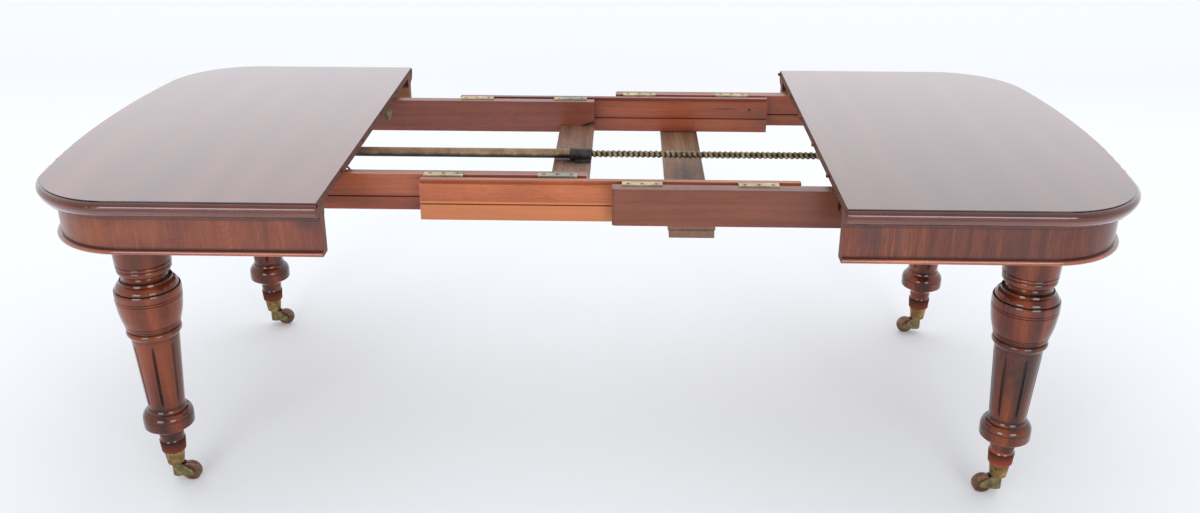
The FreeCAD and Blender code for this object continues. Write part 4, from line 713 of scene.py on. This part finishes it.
def makeScrew():
    look = windingScrew
    bm = bmesh.new()
    # an attribute that darkens the thread's roots: painted shade in the grooves
    layer = bm.verts.layers.float.new("grimeAndShade")
    pitch = look["pitch"]
    turns = int((look["threadEnd"] - look["start"]) / pitch) - 1
    profile = []
    for index in range(look["rows"] + 1):
        share = index / look["rows"]
        wave = 0.5 - 0.5 * math.cos(math.tau * share)
        radius = look["root"] + (look["crest"] - look["root"]) * wave ** look["crestShape"]
        vert = bm.verts.new(((look["start"] + share * pitch) * mm, 0, radius * mm))
        vert[layer] = (1 - wave) ** look["grimeAndShadeShape"]
        profile.append(vert)
    edges = [bm.edges.new(pair) for pair in zip(profile, profile[1:])]
    bmesh.ops.spin(bm, geom=profile + edges, cent=(0, 0, 0), axis=(1, 0, 0),
                   dvec=(pitch / look["steps"] * mm, 0, 0), angle=math.tau * turns,
                   steps=turns * look["steps"], use_merge=False)
    bmesh.ops.remove_doubles(bm, verts=bm.verts, dist=look["weld"] * mm)
    bmesh.ops.recalc_face_normals(bm, faces=bm.faces)
    # a core closes both ends of the thread, then the journal and the square for the handle
    inset = look["coreInset"]
    addShaft(bm, look["start"] + inset, look["threadEnd"] - inset, look["root"], look["coreSides"])
    addShaft(bm, look["threadEnd"] - look["overlap"], look["journalEnd"], look["journal"],
             look["journalSides"])
    keyLength = look["keyEnd"] - look["journalEnd"] + look["overlap"]
    keyPlace = Matrix.Translation(((look["keyEnd"] - keyLength / 2) * mm, 0, 0))
    keySize = Matrix.Diagonal((keyLength * mm, look["key"] * mm, look["key"] * mm, 1))
    made = bmesh.ops.create_cube(bm, size=1, matrix=keyPlace @ keySize)
    keyEdges = list({edge for vert in made["verts"] for edge in vert.link_edges})
    bmesh.ops.bevel(bm, geom=keyEdges, offset=look["keyEdge"] * mm, offset_type="OFFSET", segments=2,
                    profile=0.5, affect="EDGES", material=-1)
    bmesh.ops.translate(bm, verts=bm.verts, vec=(0, 0, look["level"] * mm))
    addPiece(bm, "threaded_screw", madeMetals["screwSteel"], "winding_screw",
             look["smooth"], ["lead_screw"])


makeScrew()
print("screw cut")


# slotted screws in the keeper plates

slottedScrew = {
    "dome": 0.5, "slot": 0.9, "slotDepth": 0.7, "sides": 20, "radius": 3.6, "rim": 0.16, "smooth": 40,
    "level": 721.3, "along": (13, 42.5, 72), "turnStep": 0.9, "sway": 0.4, "swayStep": 5.1,
}
keeperRows = {
    "inner_keeper_screws": {"starts": (-345, -101), "y": 292.5, "body": "left_end"},
    "outer_keeper_screws": {"starts": (79.5, 323.5), "y": 345.5, "body": "right_end"},
}


def addScrewHead(bm, centre, turn):
    # a low domed head with a slot, made on its own and then set down in its place
    head = bmesh.new()
    look = slottedScrew
    dome = look["dome"] * mm
    half = look["slot"] * mm / 2
    bmesh.ops.create_circle(head, cap_ends=True, segments=look["sides"], radius=look["radius"] * mm)
    rim = look["radius"] * look["rim"] * mm
    bmesh.ops.inset_region(head, faces=list(head.faces), thickness=rim, depth=0)
    crown = [face for face in head.faces if len(face.verts) > 4]
    bmesh.ops.translate(head, verts=crown[0].verts, vec=(0, 0, dome))
    for side in (-1, 1):
        geometry = list(head.faces) + list(head.edges) + list(head.verts)
        bmesh.ops.bisect_plane(head, geom=geometry, dist=1e-7, plane_co=(0, side * half, 0),
                               plane_no=(0, 1, 0))
    slot = [face for face in head.faces if abs(face.calc_center_median().y) < half
            and abs(face.calc_center_median().z - dome) < 1e-6]
    lowered = bmesh.ops.extrude_face_region(head, geom=slot)
    moved = [item for item in lowered["geom"] if isinstance(item, bmesh.types.BMVert)]
    bmesh.ops.translate(head, verts=moved, vec=(0, 0, -look["slotDepth"] * mm))
    bmesh.ops.delete(head, geom=[face for face in slot if face.is_valid], context="FACES")
    matrix = Matrix.Translation(Vector(centre) * mm) @ Matrix.Rotation(turn, 4, "Z")
    bmesh.ops.transform(head, matrix=matrix, verts=head.verts)
    part = bpy.data.meshes.new("screw_head")
    head.to_mesh(part)
    head.free()
    bm.from_mesh(part)
    bpy.data.meshes.remove(part)


def screwRow(name, row):
    look = slottedScrew
    bm = bmesh.new()
    places = [(start + step, side * row["y"], look["level"])
              for side in (-1, 1) for start in row["starts"] for step in look["along"]]
    for index, place in enumerate(places):
        turn = look["turnStep"] * index + look["sway"] * math.sin(index * look["swayStep"])
        addScrewHead(bm, place, turn)
    addPiece(bm, name, madeMetals["clipBrass"], row["body"], look["smooth"])


for rowName, row in keeperRows.items():
    screwRow(rowName, row)
print("screws driven")


# hook and clip under the left top, at the leaf gap

edgeHook = {
    "y": -254.0, "edge": 0.35, "smooth": 30,
    "path": [(-552.0, 720.7), (-525.0, 720.7), (-519.0, 719.4), (-514.0, 714.5), (-508.0, 705.5),
             (-502.5, 696.5), (-499.0, 690.0)],
    "width": [8.0, 8.0, 7.6, 6.6, 5.2, 4.0, 2.6],
    "thickness": [2.4, 2.4, 2.4, 2.2, 2.0, 1.8, 1.4],
}
leafClip = {
    "x": -517.0, "y": 185.0, "top": 721.0, "width": 20.0, "length": 35.0, "thickness": 2.5, "taper": 0.35,
    "sides": 36, "footX": -532.0, "footTop": 722, "footLength": 26.0, "footWidth": 19.0,
    "footThickness": 2.5, "edge": 0.4, "smooth": 30,
}


sharpTurn = math.radians(40)


def softened(bm, offset):
    # rounds the edges where the surface turns sharply
    sharp = [edge for edge in bm.edges if len(edge.link_faces) == 2 and edge.calc_face_angle(0) > sharpTurn]
    bmesh.ops.bevel(bm, geom=sharp, offset=offset * mm, offset_type="OFFSET", segments=2, profile=0.5,
                    affect="EDGES", material=-1)


def makeHook():
    look = edgeHook
    bm = bmesh.new()
    points = [Vector((x, 0, z)) for x, z in look["path"]]
    rows = []
    for index, point in enumerate(points):
        ahead = (points[min(index + 1, len(points) - 1)] - points[max(index - 1, 0)]).normalized()
        out = Vector((-ahead.z, 0, ahead.x)) * look["thickness"][index] / 2
        side = Vector((0, look["width"][index] / 2, 0))
        rows.append([(point + a * out + b * side + Vector((0, look["y"], 0))) * mm
                     for a, b in ((-1, -1), (-1, 1), (1, 1), (1, -1))])
    face = bm.faces.new([bm.verts.new(place) for place in rows[0]])
    for row in rows[1:]:
        moved = bmesh.ops.extrude_discrete_faces(bm, faces=[face])
        face = moved["faces"][0]
        for vert, place in zip(face.verts, row):
            vert.co = place
    bmesh.ops.holes_fill(bm, edges=[edge for edge in bm.edges if edge.is_boundary], sides=4)
    bmesh.ops.recalc_face_normals(bm, faces=bm.faces)
    softened(bm, look["edge"])
    addPiece(bm, "bent_hook", madeMetals["hookIron"], "left_end", look["smooth"], ["edge_hook"])


def makeClip():
    look = leafClip
    half = look["width"] / 2 * mm
    bm = bmesh.new()
    bmesh.ops.create_circle(bm, cap_ends=True, segments=look["sides"], radius=half)
    for vert in bm.verts:
        if vert.co.y < 0:
            # the lower half runs out to a narrow round tip
            vert.co.x *= 1 + look["taper"] * vert.co.y / half
            vert.co.y *= (look["length"] * mm - half) / half
    blade = bmesh.ops.extrude_face_region(bm, geom=list(bm.faces))
    moved = [item for item in blade["geom"] if isinstance(item, bmesh.types.BMVert)]
    bmesh.ops.translate(bm, verts=moved, vec=(0, 0, look["thickness"] * mm))
    bmesh.ops.transform(bm, matrix=Matrix.Rotation(math.pi / 2, 4, "X"), verts=bm.verts)
    bladePlace = (look["x"] * mm, (look["y"] + look["thickness"] / 2) * mm, look["top"] * mm - half)
    bmesh.ops.translate(bm, verts=bm.verts, vec=bladePlace)
    footLevel = look["footTop"] - look["footThickness"] / 2
    foot = Matrix.Translation((look["footX"] * mm, look["y"] * mm, footLevel * mm))
    size = Matrix.Diagonal((look["footLength"] * mm, look["footWidth"] * mm, look["footThickness"] * mm, 1))
    bmesh.ops.create_cube(bm, size=1, matrix=foot @ size)
    bmesh.ops.recalc_face_normals(bm, faces=bm.faces)
    softened(bm, look["edge"])
    addPiece(bm, "gap_clip", madeMetals["clipBrass"], "left_end", look["smooth"],
             ["leaf_clip"])


makeHook()
makeClip()
print("hook and clip bent")


# floor, light and camera

studio = {
    "air": {"From Min": -0.9, "From Max": 0.7, "To Min": 0.60, "To Max": 1.31},
    "airColour": (0.955, 0.975, 1.0, 1),
    "floorHalf": 30, "floorNear": shade(240, 243, 246), "floorFar": shade(253, 254, 255),
    "floorFade": (-1.5, 5.0), "floorRough": 0.75, "floorShine": 0.1,
}
lamps = {
    "back_light": {"size": (9.0, 2.6), "at": (0, 2.4, 2.35), "aim": (0, -1.0, 1.2), "power": 16.5,
                   "colour": (0.98, 0.89, 0.965)},
    "front_left_light": {"size": (1.9, 1.6), "at": (-2.1, -4.2, 1.3), "aim": (0, 0, 0.5), "power": 62,
                         "colour": (0.97, 0.98, 1.0)},
    "front_right_light": {"size": (1.9, 1.6), "at": (2.1, -4.2, 1.3), "aim": (0, 0, 0.5), "power": 62,
                          "colour": (0.97, 0.98, 1.0)},
}


def makeFloor():
    bm = bmesh.new()
    bmesh.ops.create_grid(bm, x_segments=1, y_segments=1, size=studio["floorHalf"])
    mesh = bpy.data.meshes.new("studio_floor")
    bm.to_mesh(mesh)
    bm.free()
    floor = bpy.data.objects.new("studio_floor", mesh)
    bpy.context.scene.collection.objects.link(floor)
    made = Finish("floorPaintedShade")
    patches = made.calc("MULTIPLY", made.clouds(made.place, 1.5, 4.0, 0.6), 0.06)
    # painted shade: the floor is darker near the front and lighter far back
    distance = made.calc("ADD", made.spread(made.level[1], *studio["floorFade"]), patches)
    colour = made.ramp(distance, [(0.0, studio["floorNear"]), (1.0, studio["floorFar"])])
    shine = {"Specular IOR Level": studio["floorShine"]}
    mesh.materials.append(made.finish(colour, studio["floorRough"], shine))


def areaLamp(name, look):
    lamp = bpy.data.lights.new(name, "AREA")
    lamp.shape = "RECTANGLE"
    lamp.size, lamp.size_y = look["size"]
    lamp.energy = look["power"]
    lamp.color = look["colour"]
    holder = bpy.data.objects.new(name, lamp)
    bpy.context.scene.collection.objects.link(holder)
    holder.location = look["at"]
    holder.rotation_mode = "QUATERNION"
    holder.rotation_quaternion = (Vector(look["aim"]) - Vector(look["at"])).to_track_quat("-Z", "Y")
    holder.visible_camera = False


def makeAir():
    # dimmer at the front of the room than at the back
    world = bpy.data.worlds.new("studio_air")
    bpy.context.scene.world = world
    world.use_nodes = True
    tree = world.node_tree
    where = tree.nodes.new("ShaderNodeTexCoord")
    split = tree.nodes.new("ShaderNodeSeparateXYZ")
    fade = tree.nodes.new("ShaderNodeMapRange")
    for key, value in studio["air"].items():
        fade.inputs[key].default_value = value
    tree.links.new(where.outputs["Generated"], split.inputs[0])
    tree.links.new(split.outputs[1], fade.inputs["Value"])
    tree.links.new(fade.outputs[0], tree.nodes["Background"].inputs["Strength"])
    tree.nodes["Background"].inputs["Color"].default_value = studio["airColour"]


makeFloor()
for lampName, lampLook in lamps.items():
    areaLamp(lampName, lampLook)
makeAir()

viewpoint = {
    "at": (0.08359, -2.57068, 1.54153), "yaw": 1.27661, "down": 22.65676, "roll": 0.16322,
    "focus": 1131.904, "frameWidth": 1200, "sensor": 36, "shiftY": -0.02112, "farthest": 100,
}


def makeCamera():
    camera = bpy.data.cameras.new("studio_camera")
    holder = bpy.data.objects.new("studio_camera", camera)
    bpy.context.scene.collection.objects.link(holder)
    yaw = math.radians(viewpoint["yaw"])
    down = math.radians(viewpoint["down"])
    roll = math.radians(viewpoint["roll"])
    level = math.cos(down)
    ahead = Vector((-math.sin(yaw) * level, math.cos(yaw) * level, -math.sin(down)))
    right = Vector((math.cos(yaw), math.sin(yaw), 0))
    up = right.cross(ahead)
    turnedRight = right * math.cos(roll) + up * math.sin(roll)
    turnedUp = up * math.cos(roll) - right * math.sin(roll)
    matrix = Matrix((turnedRight, turnedUp, -ahead)).transposed().to_4x4()
    matrix.translation = viewpoint["at"]
    holder.matrix_world = matrix
    camera.sensor_width = viewpoint["sensor"]
    camera.lens = viewpoint["focus"] / viewpoint["frameWidth"] * viewpoint["sensor"]
    camera.shift_y = viewpoint["shiftY"]
    camera.clip_end = viewpoint["farthest"]
    bpy.context.scene.camera = holder


makeCamera()
bpy.context.scene.view_settings.view_transform = "Standard"
print("studio set up")
